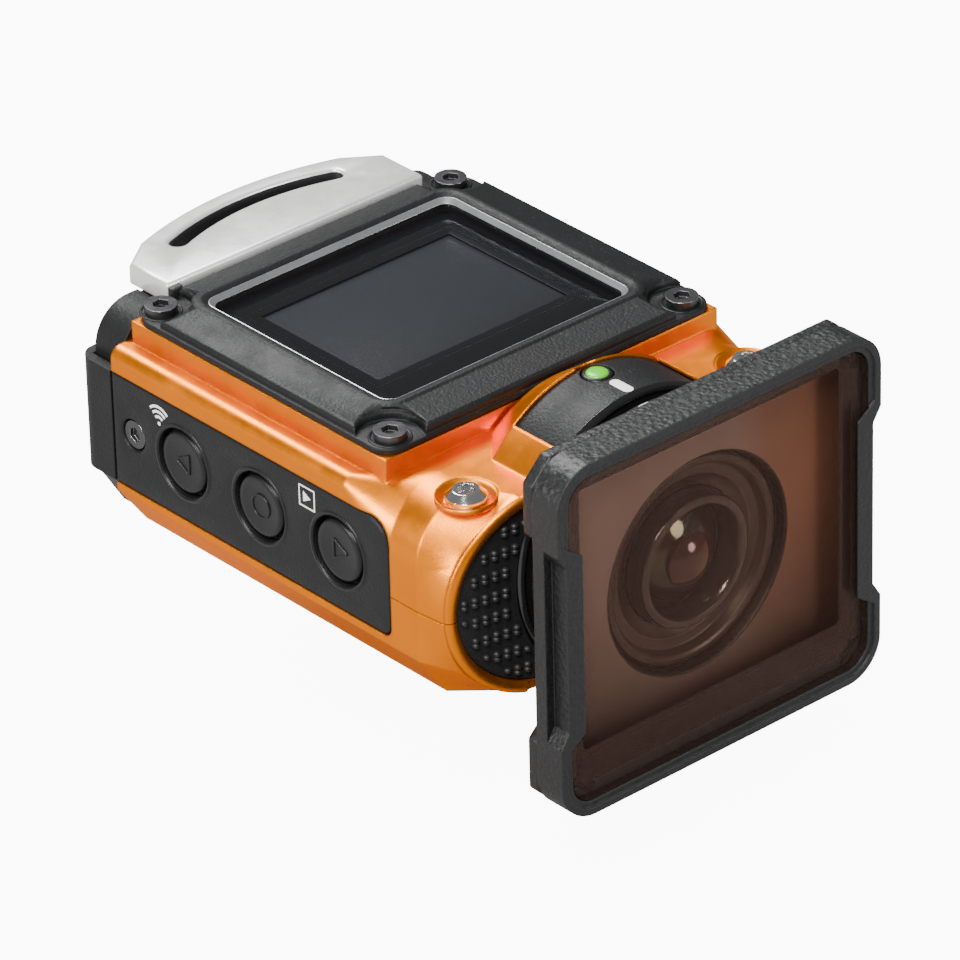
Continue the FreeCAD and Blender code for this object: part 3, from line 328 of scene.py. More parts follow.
def handling_group():
    """Slow variation of shade and gloss, with a trace of dust on upward faces."""
    values = [(label, "NodeSocketFloat") for label in ("Shade", "Gloss", "Dust")]
    tree, _, out = new_group("Handling", [], values)
    place = object_place(tree)
    normal = tree.nodes.new("ShaderNodeNewGeometry").outputs["Normal"]
    upward = put(tree, "ShaderNodeSeparateXYZ", {0: normal}).outputs["Z"]
    tree.links.new(ramp(tree, noise(tree, place, 60.0), 0.3, 0.7), out["Shade"])
    tree.links.new(ramp(tree, noise(tree, place, 190.0, 6.0, 0.7), 0.35, 0.75), out["Gloss"])
    specks = ramp(tree, noise(tree, place, 1500.0, 2.0), 0.66, 0.74)
    tree.links.new(math_node(tree, "MULTIPLY", specks, ramp(tree, upward, 0.5, 1.0)), out["Dust"])
    return tree


GROUPS = {}


def use(tree, name, inputs=None):
    """Places a shared group, feeds its inputs and gives its outputs."""
    return put(tree, "ShaderNodeGroup", inputs, node_tree=GROUPS[name]).outputs


def opaque(colour):
    """A colour with its alpha, or a socket as it is."""
    return colour if isinstance(colour, bpy.types.NodeSocket) else tuple(colour) + (1.0,)


def tinted(tree, factor, a, b):
    """Mixes two colours, each a socket or a value."""
    inputs = {"Factor": factor, 6: opaque(a), 7: opaque(b)}
    return put(tree, "ShaderNodeMix", inputs, data_type="RGBA").outputs[2]


def new_material(name):
    """A material, its node tree and its shader."""
    material = bpy.data.materials.new(name)
    material.use_nodes = True
    MATERIALS[name] = material
    return material.node_tree, material.node_tree.nodes["Principled BSDF"]


def surface(name, colour, rough, metallic=0.0, grain=(2600.0, 0.0), edge=0.25, edge_highlight=None, coat=0.0,
            coat_rough=0.08, shade=0.12, dust=0.04, uneven=0.12, detail=None, film=None, specular=0.5,
            rim_tint=None):
    """A detailed material: soft edges with a painted highlight along them where one is given, moulded grain,
    handling, and whatever detail adds to its colour.
    """
    tree, shader = new_material(name)
    soft = use(tree, "Soft edge", {"Radius": edge * MM})
    texture = use(tree, "Moulded grain", {"Normal": soft["Normal"], "Scale": grain[0], "Depth": grain[1]})
    handling = use(tree, "Handling")
    tree.links.new(texture["Normal"], shader.inputs["Normal"])
    base = tinted(tree, handling["Shade"], tuple(part * (1.0 - shade) for part in colour), colour)
    if detail:
        base = detail(tree, base)
    # painted highlight: a lighter colour along the edges, placed by the soft-edge mask
    if edge_highlight:
        base = tinted(tree, math_node(tree, "MULTIPLY", soft["Mask"], edge_highlight[3]), base, edge_highlight[:3])
    base = tinted(tree, math_node(tree, "MULTIPLY", handling["Dust"], dust), base, (0.6, 0.58, 0.55))
    tree.links.new(base, shader.inputs["Base Color"])
    gloss = math_node(tree, "MULTIPLY", handling["Gloss"], uneven)
    tree.links.new(math_node(tree, "ADD", gloss, rough), shader.inputs["Roughness"])
    plain = {"Metallic": metallic, "Coat Weight": coat, "Coat Roughness": coat_rough,
             "Specular IOR Level": specular}
    if rim_tint:
        plain["Specular Tint"] = opaque(rim_tint)
    if film:
        plain.update({"Thin Film Thickness": film, "Thin Film IOR": 1.38})
    for label, value in plain.items():
        shader.inputs[label].default_value = value


def object_axis(tree, axis):
    """One object coordinate, in millimetres."""
    split = put(tree, "ShaderNodeSeparateXYZ", {0: object_place(tree)})
    return math_node(tree, "MULTIPLY", split.outputs[axis], 1.0 / MM)


def parting_line(tree, base):
    """The fine dark line where the two shells meet."""
    off = math_node(tree, "ABSOLUTE", math_node(tree, "SUBTRACT", object_axis(tree, "Z"), SEAM_Z))
    line = math_node(tree, "SUBTRACT", 1.0, ramp(tree, off, 0.03, 0.11))
    return tinted(tree, line, base, (0.30, 0.06, 0.002))


def metal_flake(tree, base):
    """Fine bright flake in the orange lacquer."""
    flake = ramp(tree, noise(tree, object_place(tree), 5200.0, 1.0), 0.60, 0.78)
    return parting_line(tree, tinted(tree, math_node(tree, "MULTIPLY", flake, 0.25), base, (1.0, 0.34, 0.02)))


def brushed(tree, base):
    """Fine lines along X."""
    stretch = put(tree, "ShaderNodeMapping", {"Vector": object_place(tree), "Scale": (60.0, 2600.0, 2600.0)})
    lines = noise(tree, stretch.outputs["Vector"], 1.0)
    return tinted(tree, math_node(tree, "MULTIPLY", lines, 0.25), base, (0.45, 0.45, 0.46))


def display_painted_reflection(tree, base):
    """The unlit display with a painted reflection: a shade lighter towards its rear edge, with a faint dot
    grid.
    """
    # painted reflection: the colour goes lighter towards the rear edge
    rise = ramp(tree, object_axis(tree, "Y"), -18.0, 20.0)
    grid = math_node(tree, "FRACT", math_node(tree, "MULTIPLY", object_axis(tree, "X"), 8.0))
    cell = math_node(tree, "MULTIPLY", ramp(tree, grid, 0.75, 0.95), 0.08)
    return tinted(tree, cell, tinted(tree, rise, base, (0.030, 0.032, 0.036)), (0.01, 0.01, 0.012))


def see_through(name, tint, reflect, haze, haze_colour, film=0.0, painted_veil=None):
    """Thin coated glass: clear and tinted face on, a mirror at grazing angles, with a faint haze and, where
    given, a painted reflection.
    """
    tree, shader = new_material(name)
    plain = {"Base Color": opaque(haze_colour), "Roughness": 0.02, "Coat Weight": 0.3,
             "Thin Film Thickness": film}
    for label, value in plain.items():
        shader.inputs[label].default_value = value
    clear = put(tree, "ShaderNodeBsdfTransparent", {"Color": opaque(tint)})
    fresnel = put(tree, "ShaderNodeFresnel", {"IOR": 1.5})
    smear = math_node(tree, "MULTIPLY", use(tree, "Handling")["Shade"], haze * 0.2)
    amount = math_node(tree, "ADD", math_node(tree, "MULTIPLY", fresnel.outputs[0], reflect), haze)
    amount = math_node(tree, "ADD", amount, smear, clamp=True)
    # painted reflection: a mask that adds more of the lit haze shader over parts of the glass
    if painted_veil:
        amount = math_node(tree, "ADD", amount, painted_veil(tree), clamp=True)
    behind = tree.nodes.new("ShaderNodeNewGeometry").outputs["Backfacing"]
    amount = math_node(tree, "MULTIPLY", amount, math_node(tree, "SUBTRACT", 1.0, behind))
    mix = put(tree, "ShaderNodeMixShader", {"Fac": amount, 1: clear.outputs[0], 2: shader.outputs[0]})
    tree.links.new(mix.outputs[0], tree.nodes["Material Output"].inputs["Surface"])


def backing_painted_shade(tree, base):
    """The protector's backing with painted light: a painted reflection makes it browner towards its right
    side, and painted shade makes it nearly black at its foot.
    """
    # painted reflection: browner towards the right side
    right = ramp(tree, object_axis(tree, "X"), 5.0, 13.0)
    browner = tinted(tree, right, base, (0.17, 0.085, 0.055))
    # painted shade: nearly black at the foot, lighter upwards
    return tinted(tree, ramp(tree, object_axis(tree, "Z"), -10.0, 24.0), (0.018, 0.012, 0.010), browner)


def protector_painted_veil(tree):
    """A painted reflection: a soft light haze over most of the protector's glass, fading towards its right
    side and foot.
    """
    # painted reflection, strongest towards the left and top of the glass
    across = math_node(tree, "SUBTRACT", 1.0, ramp(tree, object_axis(tree, "X"), 4.0, 17.0))
    up = ramp(tree, object_axis(tree, "Z"), -9.0, 12.0)
    return math_node(tree, "MULTIPLY", math_node(tree, "MULTIPLY", across, up), 0.07)


def make_materials(look):
    """Every material the pieces use."""
    GROUPS["Soft edge"] = soft_edge_group()
    GROUPS["Moulded grain"] = grain_group()
    GROUPS["Handling"] = handling_group()
    orange = tuple(look.body_colour)
    dark = tuple(look.trim_colour)
    grain = look.grain_scale
    # The edge colours below are painted highlights along each piece's edges, with their strength last.
    surface("orange_lacquer", orange, 0.33, metallic=0.94, grain=(grain * 1.5, 0.10), edge=0.45,
            edge_highlight=(1.0, 0.36, 0.02, 0.3), coat=0.05, coat_rough=0.2, detail=metal_flake, dust=0.05,
            shade=0.08, rim_tint=(1.0, 0.45, 0.10))
    surface("charcoal_moulding", dark, 0.44, specular=0.24, grain=(grain, 0.42), edge=0.28,
            edge_highlight=(0.05, 0.052, 0.055, 0.5))
    surface("charcoal_coarse", tuple(part * 0.75 for part in dark), 0.40, specular=0.42,
            grain=(grain * 0.55, 1.0), edge=0.3, edge_highlight=(0.045, 0.047, 0.05, 0.5))
    surface("charcoal_smooth", tuple(part * 0.8 for part in dark), 0.30, specular=0.3, grain=(grain, 0.08),
            edge=0.25, edge_highlight=(0.06, 0.062, 0.065, 0.4))
    surface("lip_metal", (0.42, 0.43, 0.44), 0.26, metallic=0.8, grain=(grain, 0.12), edge=0.1)
    surface("black_gloss", (0.010, 0.010, 0.011), 0.10, edge=0.2, edge_highlight=(0.12, 0.12, 0.12, 0.4),
            coat=0.5)
    surface("lens_black", (0.022, 0.017, 0.015), 0.30, edge=0.3, edge_highlight=(0.30, 0.24, 0.20, 0.7),
            grain=(grain, 0.1))
    surface("rubber", (0.013, 0.013, 0.014), 0.46, grain=(grain * 1.2, 0.35), edge=0.15,
            edge_highlight=(0.06, 0.06, 0.065, 0.5))
    surface("print_black", (0.004, 0.004, 0.005), 0.18, specular=0.3, shade=0.0, uneven=0.0, dust=0.0,
            edge=0.05)
    surface("print_brown", (0.016, 0.011, 0.015), 0.12, specular=0.35, shade=0.0, uneven=0.0, edge=0.05,
            dust=0.0)
    surface("backing_grey", (0.20, 0.16, 0.15), 0.55, edge=0.2, grain=(grain, 0.15), dust=0.0,
            detail=backing_painted_shade)
    surface("display_panel", (0.019, 0.020, 0.022), 0.24, shade=0.0, uneven=0.0, detail=display_painted_reflection,
            edge=0.05, dust=0.0)
    surface("satin_silver", (0.92, 0.92, 0.91), 0.26, metallic=0.5, grain=(grain, 0.05), edge=0.4,
            edge_highlight=(0.95, 0.95, 0.94, 0.6), detail=brushed, dust=0.03)
    surface("chrome", (0.86, 0.86, 0.86), 0.06, metallic=1.0, edge=0.15, dust=0.02)
    surface("screw_steel", (0.10, 0.10, 0.105), 0.26, metallic=0.9, edge=0.15, grain=(grain, 0.1),
            edge_highlight=(0.5, 0.5, 0.5, 0.7))
    surface("bright_steel", (0.55, 0.55, 0.56), 0.25, metallic=1.0, edge=0.12, detail=brushed)
    surface("brass", (0.70, 0.50, 0.20), 0.28, metallic=1.0, edge=0.15)
    surface("green_gloss", (0.10, 0.62, 0.0), 0.28, edge=0.2, coat=0.4, grain=(grain, 0.05), dust=0.05)
    surface("white_print", (0.95, 0.95, 0.95), 0.5, edge=0.05, grain=(grain, 0.1), dust=0.0, shade=0.05)
    surface("mark_red", (0.7, 0.03, 0.02), 0.4, edge=0.05)
    surface("board_green", (0.01, 0.09, 0.04), 0.35, edge=0.1)
    surface("chip_black", (0.02, 0.02, 0.022), 0.5, edge=0.1, grain=(grain, 0.2))
    surface("cell_wrap", (0.10, 0.10, 0.12), 0.30, edge=0.3, grain=(grain, 0.05))
    surface("coated_dome", (0.012, 0.006, 0.004), 0.03, coat=1.0, coat_rough=0.02, edge=0.1, film=430.0,
            dust=0.0)
    surface("inner_dome", (0.03, 0.012, 0.006), 0.05, coat=1.0, coat_rough=0.03, edge=0.1, film=310.0,
            dust=0.0)
    see_through("window_glass", (0.93, 0.94, 0.95), 0.9, 0.015, (0.02, 0.02, 0.022))
    see_through("protector_glass", (0.91, 0.83, 0.78), 0.6, 0.02, (0.17, 0.10, 0.078), film=560.0,
                painted_veil=protector_painted_veil)
    see_through("lens_clear", (0.95, 0.96, 0.97), 0.9, 0.01, (0.02, 0.02, 0.02), film=400.0)


# ---------------------------------------------------------------- shared pieces

def front_y(x):
    """Where the bowed front face stands."""
    return FRONT + x * x / (2 * SWEEP)


CAD_LOOKS = {
    "orange_lacquer": ("upper_shell", "lower_shell"),
    "rubber": ("window_seal", "door_seal", "left_grip", "right_grip", "protector_seal", "left_membrane",
               "right_membrane"),
    "display_panel": ("lcd_panel",),
    "screw_steel": ("bezel_screws", "base_screws", "left_plate_screw", "right_plate_screw"),
    "chrome": ("shoulder_screws",),
    "bright_steel": ("bracket_screws", "door_hinge_pin", "usb_port", "video_port", "card_slot",
                     "microphones"),
    "charcoal_moulding": ("rear_cover", "rear_door", "lens_collar", "protector_ring"),
    "charcoal_smooth": ("door_latch",),
    "inner_dome": ("middle_element", "rear_element"),
    "chip_black": ("image_sensor", "battery_tray", "processor", "memory", "speaker"),
    "board_green": ("sensor_board", "main_board", "left_switch_board", "right_switch_board"),
    "charcoal_coarse": ("protector_frame",),
    "brass": ("tripod_bush",),
    "cell_wrap": ("battery",),
    "window_glass": ("lcd_window",),
    "protector_glass": ("protector_glass",),
}


def dress_frame():
    """Gives each CAD node that stays visible its material."""
    for look, nodes in CAD_LOOKS.items():
        for node in nodes:
            thing = frame["nodes"][node]
            if not thing.material_slots:
                thing.data.materials.append(MATERIALS[look])
            for slot in thing.material_slots:
                slot.material = MATERIALS[look]


# ---------------------------------------------------------------- bezel and display

EAR_X, EAR_Y, EAR_R = 24.0, 21.65, 4.3


def notched(half_x, low_y, high_y, grow=0.0, count=9):
    """A rectangle with a round bite at each screw."""
    radius = EAR_R + grow
    loop = []
    for sx, sy in ((1, 1), (-1, 1), (-1, -1), (1, -1)):
        reach = high_y if sy > 0 else -low_y
        start = math.degrees(math.atan2(-math.sqrt(radius ** 2 - (half_x - EAR_X) ** 2), half_x - EAR_X))
        end = math.degrees(math.atan2(reach - EAR_Y, -math.sqrt(radius ** 2 - (reach - EAR_Y) ** 2))) - 360
        bite = [(sx * u, sy * v) for u, v in arc(EAR_X, EAR_Y, radius, start, end, count)]
        loop += bite if sx * sy > 0 else bite[::-1]
    return loop


def build_bezel():
    """The screwed-down bezel: a flange, a raised body bitten at the screws, and a ridge round the window."""
    bm = bmesh.new()
    spots = [(sx * EAR_X, sy * EAR_Y) for sx in (-1, 1) for sy in (-1, 1)]
    slab(bm, "z", rounded(-27.2, 27.2, -24.6, 23.5, 3.0, 9), 29.3, 30.15, 0.22,
         [rounded(-20.4, 20.4, -17.3, 18.2, 2.0)] + [circle(u, v, 1.15, 24) for u, v in spots])
    stations = [
        (notched(26.8, -24.25, 23.4, 0.0), 30.1), (notched(26.8, -24.25, 23.4, 0.0), 30.75),
        (notched(26.6, -24.05, 23.3, 0.12), 31.05), (notched(26.1, -23.6, 23.0, 0.45), 31.3),
        (rounded(-22.1, 22.1, -18.8, 19.9, 3.0, 9), 31.72), (rounded(-21.7, 21.7, -18.4, 19.5, 2.8, 9),
                                                             31.95),
        (rounded(-21.1, 21.1, -17.8, 18.9, 2.4, 9), 32.0), (rounded(-20.9, 20.9, -17.6, 18.7, 2.3, 9),
                                                            31.93),
        (rounded(-20.3, 20.3, -17.1, 18.1, 2.0, 9), 31.5), (rounded(-20.3, 20.3, -17.1, 18.1, 2.0, 9),
                                                            30.1),
    ]
    rings = [[bm.verts.new((u, v, z)) for u, v in loop] for loop, z in stations]
    skin(bm, rings, closed=True)
    stood_in("bezel_body", "lcd_bezel", bm, "charcoal", "charcoal_moulding", sharp=24.0)
    bm = bmesh.new()
    lip = [
        (rounded(-20.32, 20.32, -17.12, 18.12, 2.0, 9), 31.52), (rounded(-20.2, 20.2, -17.0, 18.0, 1.9, 9),
                                                                 31.56),
        (rounded(-19.75, 19.75, -16.55, 17.55, 1.7, 9), 31.12), (rounded(-19.6, 19.6, -16.4, 17.4, 1.6, 9),
                                                                 30.98),
        (rounded(-19.6, 19.6, -16.4, 17.4, 1.6, 9), 30.92), (rounded(-20.32, 20.32, -17.12, 18.12, 2.0, 9),
                                                             30.92),
    ]
    rings = [[bm.verts.new((u, v, z)) for u, v in loop] for loop, z in lip]
    skin(bm, rings, closed=True)
    piece("window_lip", bm, "casing", "charcoal", "lip_metal")
    for sx in (-1, 1):
        for sy in (-1, 1):
            bm = bmesh.new()
            lathe(bm, "z", sx * EAR_X, sy * EAR_Y, [(2.35, 30.1), (2.75, 30.1), (2.75, 30.22), (2.6, 30.3),
                                                    (2.35, 30.22)], 48)
            tag = ("right" if sx > 0 else "left") + ("_rear" if sy > 0 else "_front")
            piece("ear_rim_" + tag, bm, "casing", "charcoal", "charcoal_smooth")


def build_display():
    """The black print under the window and the thin frame round the picture area."""
    bm = bmesh.new()
    slab(bm, "z", rounded(-20.1, 20.1, -16.7, 17.6, 1.6), 29.80, 29.83, 0.004,
         [rounded(-15.53, 15.53, -9.76, 12.39, 0.1, 3)])
    piece("window_print", bm, "casing", "black_gloss", "print_black")
    bm = bmesh.new()
    slab(bm, "z", rounded(-15.6, 15.6, -9.85, 12.5, 0.1, 3), 29.5, 29.56, 0.01)
    piece("picture_area", bm, "casing", "display", "display_panel")
    bm = bmesh.new()
    slab(bm, "z", rounded(-16.9, 16.9, -11.2, 13.9, 0.3, 4), 29.835, 29.845, 0.002,
         [rounded(-16.75, 16.75, -11.05, 13.75, 0.3, 4)])
    piece("window_hairline", bm, "casing", "display", "charcoal_smooth")


# ---------------------------------------------------------------- strap bracket

def bracket_outline():
    """The bracket seen from above."""
    half, front, corner = 21.1, 23.8, 31.3
    inner, shoulder, rear = 16.4, 34.73, 37.6
    rise = rear - shoulder
    radius = inner ** 2 / 2 / rise + rise / 2
    sweep = math.degrees(math.asin(inner / radius))
    crown = arc(0, rear - radius, radius, 90 - sweep, 90 + sweep, 25)
    return [(-half, front), (half, front), (half, corner)] + crown + [(-half, corner)]


def slot_outline():
    """The curved strap slot."""
    radius, centre = 36.8, -2.9
    half = 20.6
    outer = arc(0, centre, radius + 1.2, 90 - half, 90 + half, 29)
    inner = arc(0, centre, radius - 1.2, 90 + half, 90 - half, 29)
    def cap(angle, turn):
        t = math.radians(angle)
        u, v = radius * math.cos(t), centre + radius * math.sin(t)
        return arc(u, v, 1.2, angle + turn, angle + turn + 180, 9)[1:-1]
    return outer + cap(90 + half, 0) + inner + cap(90 - half, 180)


def build_bracket():
    """The satin bracket with its bevelled strap slot."""
    bm = bmesh.new()
    slab(bm, "z", bracket_outline(), 28.9, 32.0, 0.55, [slot_outline()], 0.45)
    stood_in("bracket_body", "strap_bracket", bm, "silver", "satin_silver", sharp=40.0)
    # painted shade: a thin dark band over the slot's walls makes the slot read dark
    bm = bmesh.new()
    slab(bm, "z", shrunk(slot_outline(), -0.02), 28.95, 31.62, 0.02, [shrunk(slot_outline(), 0.1)])
    piece("slot_wall_shade", bm, "casing", "black_rubber", "rubber")
    bm = bmesh.new()
    slab(bm, "z", rounded(-21.0, -19.2, 23.0, 24.1, 0.3, 4), 29.6, 31.5, 0.15)
    piece("bracket_tab", bm, "casing", "black_rubber", "rubber")


# ---------------------------------------------------------------- sides

BUTTON_Y = (10.9, -3.8, -18.5)
BUTTON_Z = 15.3
BUTTON_R = 4.15


def side_outline():
    """A side plate's outline in Y and Z."""
    rear, front, low, high = 24.4, -28.0, 7.2, 22.9
    corner = arc(front + 4.0, high - 4.0, 4.0, 90, 180, 12)
    foot = arc(front + 1.5, low + 1.5, 1.5, 180, 270, 6)
    return [(rear, low + 0.3), (rear, high)] + corner + foot + [(rear - 0.3, low)]


def button_profile(sign):
    """A key cap's turned profile, from its rim to a shallow dished top."""
    radius, face = BUTTON_R, SIDE - 0.1
    steps = [(radius, face - 0.85), (radius, face - 0.4), (radius - 0.12, face - 0.14),
             (radius - 0.4, face),
             (radius - 0.9, face - 0.03), (radius * 0.5, face - 0.16), (0.01, face - 0.2),
             (0.01, face - 0.85)]
    return [(r, sign * x) for r, x in steps]


def triangle(u, v, size, point):
    """A triangle that points along +U (1) or -U (-1), anticlockwise."""
    tip, back = u + point * size, u - point * size * 0.62
    corners = [(tip, v), (back, v + size * 0.9), (back, v - size * 0.9)]
    return corners if point > 0 else corners[::-1]


KEYS = {
    -1: (("back_button", "arrow", 1), ("select_button", "ring", 0), ("forward_button", "arrow", -1)),
    1: (("power_button", "power", 0), ("record_button", "dot", 0), ("photo_button", "frame", 0)),
}


def key_symbol(bm, kind, turn, y, low, high):
    """A raised outline symbol on a key cap."""
    if kind == "arrow":
        ring_line(bm, "x", softened(triangle(y, BUTTON_Z, 1.75, turn), 0.3), 0.22, low, high)
    elif kind == "ring":
        ring_line(bm, "x", circle(y, BUTTON_Z, 1.7, 40), 0.24, low, high)
    elif kind == "power":
        strip(bm, "x", arc(y, BUTTON_Z, 1.5, 125, 415, 30), 0.24, low, high)
        strip(bm, "x", [(y, BUTTON_Z + 0.5), (y, BUTTON_Z + 1.9)], 0.24, low, high)
    elif kind == "dot":
        slab(bm, "x", circle(y, BUTTON_Z, 1.2, 40), low, high, 0.02)
    else:
        box_line(bm, "x", y - 1.7, y + 1.7, BUTTON_Z - 1.1, BUTTON_Z + 1.1, 0.24, low, high)
        ring_line(bm, "x", circle(y, BUTTON_Z, 0.65, 24), 0.2, low, high)


def build_side(sign):
    """One side plate, its keys and its printed symbols."""
    word = "right" if sign > 0 else "left"
    span = sorted((sign * (SIDE - 1.65), sign * SIDE))
    bm = bmesh.new()
    holes = [circle(y, BUTTON_Z, 4.7, 64) for y in BUTTON_Y] + [circle(20.5, BUTTON_Z, 2.15, 32)]
    slab(bm, "x", side_outline(), span[0], span[1], 0.35, holes, 0.3)
    stood_in(word + "_plate_body", word + "_plate", bm, "charcoal", "charcoal_moulding", sharp=40.0)
    face = sign * SIDE
    for (node, kind, turn), y in zip(KEYS[sign], BUTTON_Y):
        bm = bmesh.new()
        lathe(bm, "x", y, BUTTON_Z, button_profile(sign), 72)
        body = frame["nodes"][node]["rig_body"]
        stood_in(node + "_cap", node, bm, "charcoal", "charcoal_smooth", sharp=40.0)
        bm = bmesh.new()
        low, high = sorted((face - sign * 0.45, face - sign * 0.12))
        key_symbol(bm, kind, turn, y, low, high)
        piece(node + "_symbol", bm, body, "charcoal", "mark_red" if kind == "dot" else "charcoal_smooth")
        bm = bmesh.new()
        ring = [(5.35, face - sign * 0.02), (5.2, face + sign * 0.10), (4.95, face + sign * 0.12),
                (4.72, face - sign * 0.05),
                (4.72, face - sign * 0.3), (5.35, face - sign * 0.3)]
        lathe(bm, "x", y, BUTTON_Z, ring, 72)
        piece(node + "_surround", bm, "casing", "charcoal", "charcoal_smooth", sharp=40.0)
    # A dark rubber ring on the floor under each key, like a key membrane, and also painted shade: it darkens
    # the gap round each key.
    bm = bmesh.new()
    for y in BUTTON_Y:
        low, high = sorted((face - sign * 1.645, face - sign * 1.6))
        slab(bm, "x", circle(y, BUTTON_Z, 5.0, 48), low, high, 0.02, [circle(y, BUTTON_Z, 1.8, 48)])
    piece(word + "_key_well_shade", bm, "casing", "black_rubber", "rubber")
    low, high = sorted((face - sign * 0.01, face + sign * 0.03))
    bm = bmesh.new()
    if sign < 0:
        u, v = 15.2, 19.2
        slab(bm, "x", circle(u, v, 0.27, 20), low, high, 0.01)
        for radius in (0.95, 1.65, 2.35):
            strip(bm, "x", arc(u, v, radius, 45, 135, 16), 0.36, low, high)
        box_line(bm, "x", -14.5, -11.5, 19.0, 22.0, 0.22, low, high)
        slab(bm, "x", triangle(-12.85, 20.5, 0.85, -1), low, high, 0.01)
    else:
        slab(bm, "x", circle(-3.8, 21.6, 0.45, 24), low, high, 0.01)
        box_line(bm, "x", -19.7, -17.3, 20.9, 22.2, 0.2, low, high)
        strip(bm, "x", [(10.9, 21.0), (10.9, 22.2)], 0.26, low, high)
    piece(word + "_plate_print", bm, "casing", "silver", "white_print")


# ---------------------------------------------------------------- rear

def build_rear():
    """Symbols and grip ribs of the rear door."""
    low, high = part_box("rear_door")
    ink, proud = DOOR_FACE - 0.01, DOOR_FACE + 0.03
    middle = (low.z + high.z) / 2 / MM
    bm = bmesh.new()
    slab(bm, "y", triangle(-11.6, middle, 0.8, 1), ink, proud, 0.01)
    strip(bm, "y", [(-9.9, middle - 0.9), (-9.9, middle + 0.9)], 0.3, ink, proud)
    ring_line(bm, "y", rounded(4.0, 12.0, middle - 3.0, middle + 3.0, 0.6, 5), 0.22, ink, proud)
    slab(bm, "y", rounded(12.1, 12.7, middle - 1.2, middle + 1.2, 0.1, 3), ink, proud, 0.01)
    piece("door_print", bm, "door_part", "silver", "white_print")
    bm = bmesh.new()
    for step in range(5):
        x = -6.0 + 1.6 * step
        slab(bm, "y", rounded(x - 0.35, x + 0.35, middle - 4.6, middle + 4.6, 0.34, 6), DOOR_FACE - 0.1,
             DOOR_FACE + 0.25, 0.12)
    piece("door_ribs", bm, "door_part", "charcoal", "charcoal_smooth")


# ---------------------------------------------------------------- lens

def dome(reach, rise, foot, back, steps):
    """A dome's turned profile, from its flat back to its crown."""
    radius = (reach ** 2 + rise ** 2) / 2 / rise
    cap = math.asin(reach / radius)
    turns = [cap * (1 - step / steps) for step in range(steps + 1)]
    crown = [(max(radius * math.sin(t), 0.01), foot - rise + radius - radius * math.cos(t)) for t in turns]
    return [(0.01, back), (reach, back)] + crown


def build_lens():
    """Barrel with stepped rings, retaining ring, coated front glass and the domes behind it."""
    bm = bmesh.new()
    lathe(bm, "y", 0, LENS_Z, [
        (13.95, -30.0), (13.95, -48.7), (13.7, -48.98), (13.1, -49.0), (12.75, -48.8), (12.55, -48.2),
        (12.2, -47.7),
        (11.4, -47.55), (10.9, -47.6), (10.6, -47.3), (9.6, -46.9), (9.2, -46.9), (9.2, -45.4),
        (6.0, -45.2), (6.0, -30.0),
    ], 128)
    stood_in("barrel_body", "lens_barrel", bm, "black_gloss", "lens_black", sharp=30.0)
    bm = bmesh.new()
    lathe(bm, "y", 0, LENS_Z, [
        (8.9, -46.0), (8.9, -49.3), (8.7, -49.65), (8.3, -49.8), (7.75, -49.75), (7.4, -49.4),
        (7.25, -48.9), (7.2, -46.0),
    ], 128)
    stood_in("retaining_ring_body", "retaining_ring", bm, "black_gloss", "black_gloss", sharp=30.0)
    bm = lathe(bmesh.new(), "y", 0, LENS_Z, dome(7.15, 2.0, -49.6, -46.2, 12), 96)
    stood_in("front_glass", "front_element", bm, "glass", "lens_clear", sharp=40.0)
    inner = ((6.2, 2.2, -46.6, "coated_dome"), (3.6, 1.4, -48.9, "inner_dome"))
    for index, (reach, rise, foot, finish) in enumerate(inner):
        bm = lathe(bmesh.new(), "y", 0, LENS_Z, dome(reach, rise, foot, foot + 0.6, 10), 80)
        piece("coated_glass_%d" % index, bm, "casing", "glass", finish, sharp=40.0)


def curved_mark(name, body, slot, material, radius, half_width, y_low, y_high, round_end):
    """A small printed mark that follows the round top of the collar."""
    outline = rounded(-half_width, half_width, y_low, y_high, round_end, 7)
    bm = bmesh.new()
    slab(bm, "z", outline, LENS_Z + radius - 0.12, LENS_Z + radius + 0.03, 0.01)
    across = [e for e in bm.edges if abs(e.verts[0].co.x - e.verts[1].co.x) > 0.3]
    bmesh.ops.subdivide_edges(bm, edges=across, cuts=3)
    for vert in bm.verts:
        vert.co.z -= radius - math.sqrt(radius ** 2 - vert.co.x ** 2)
    piece(name, bm, body, slot, material)


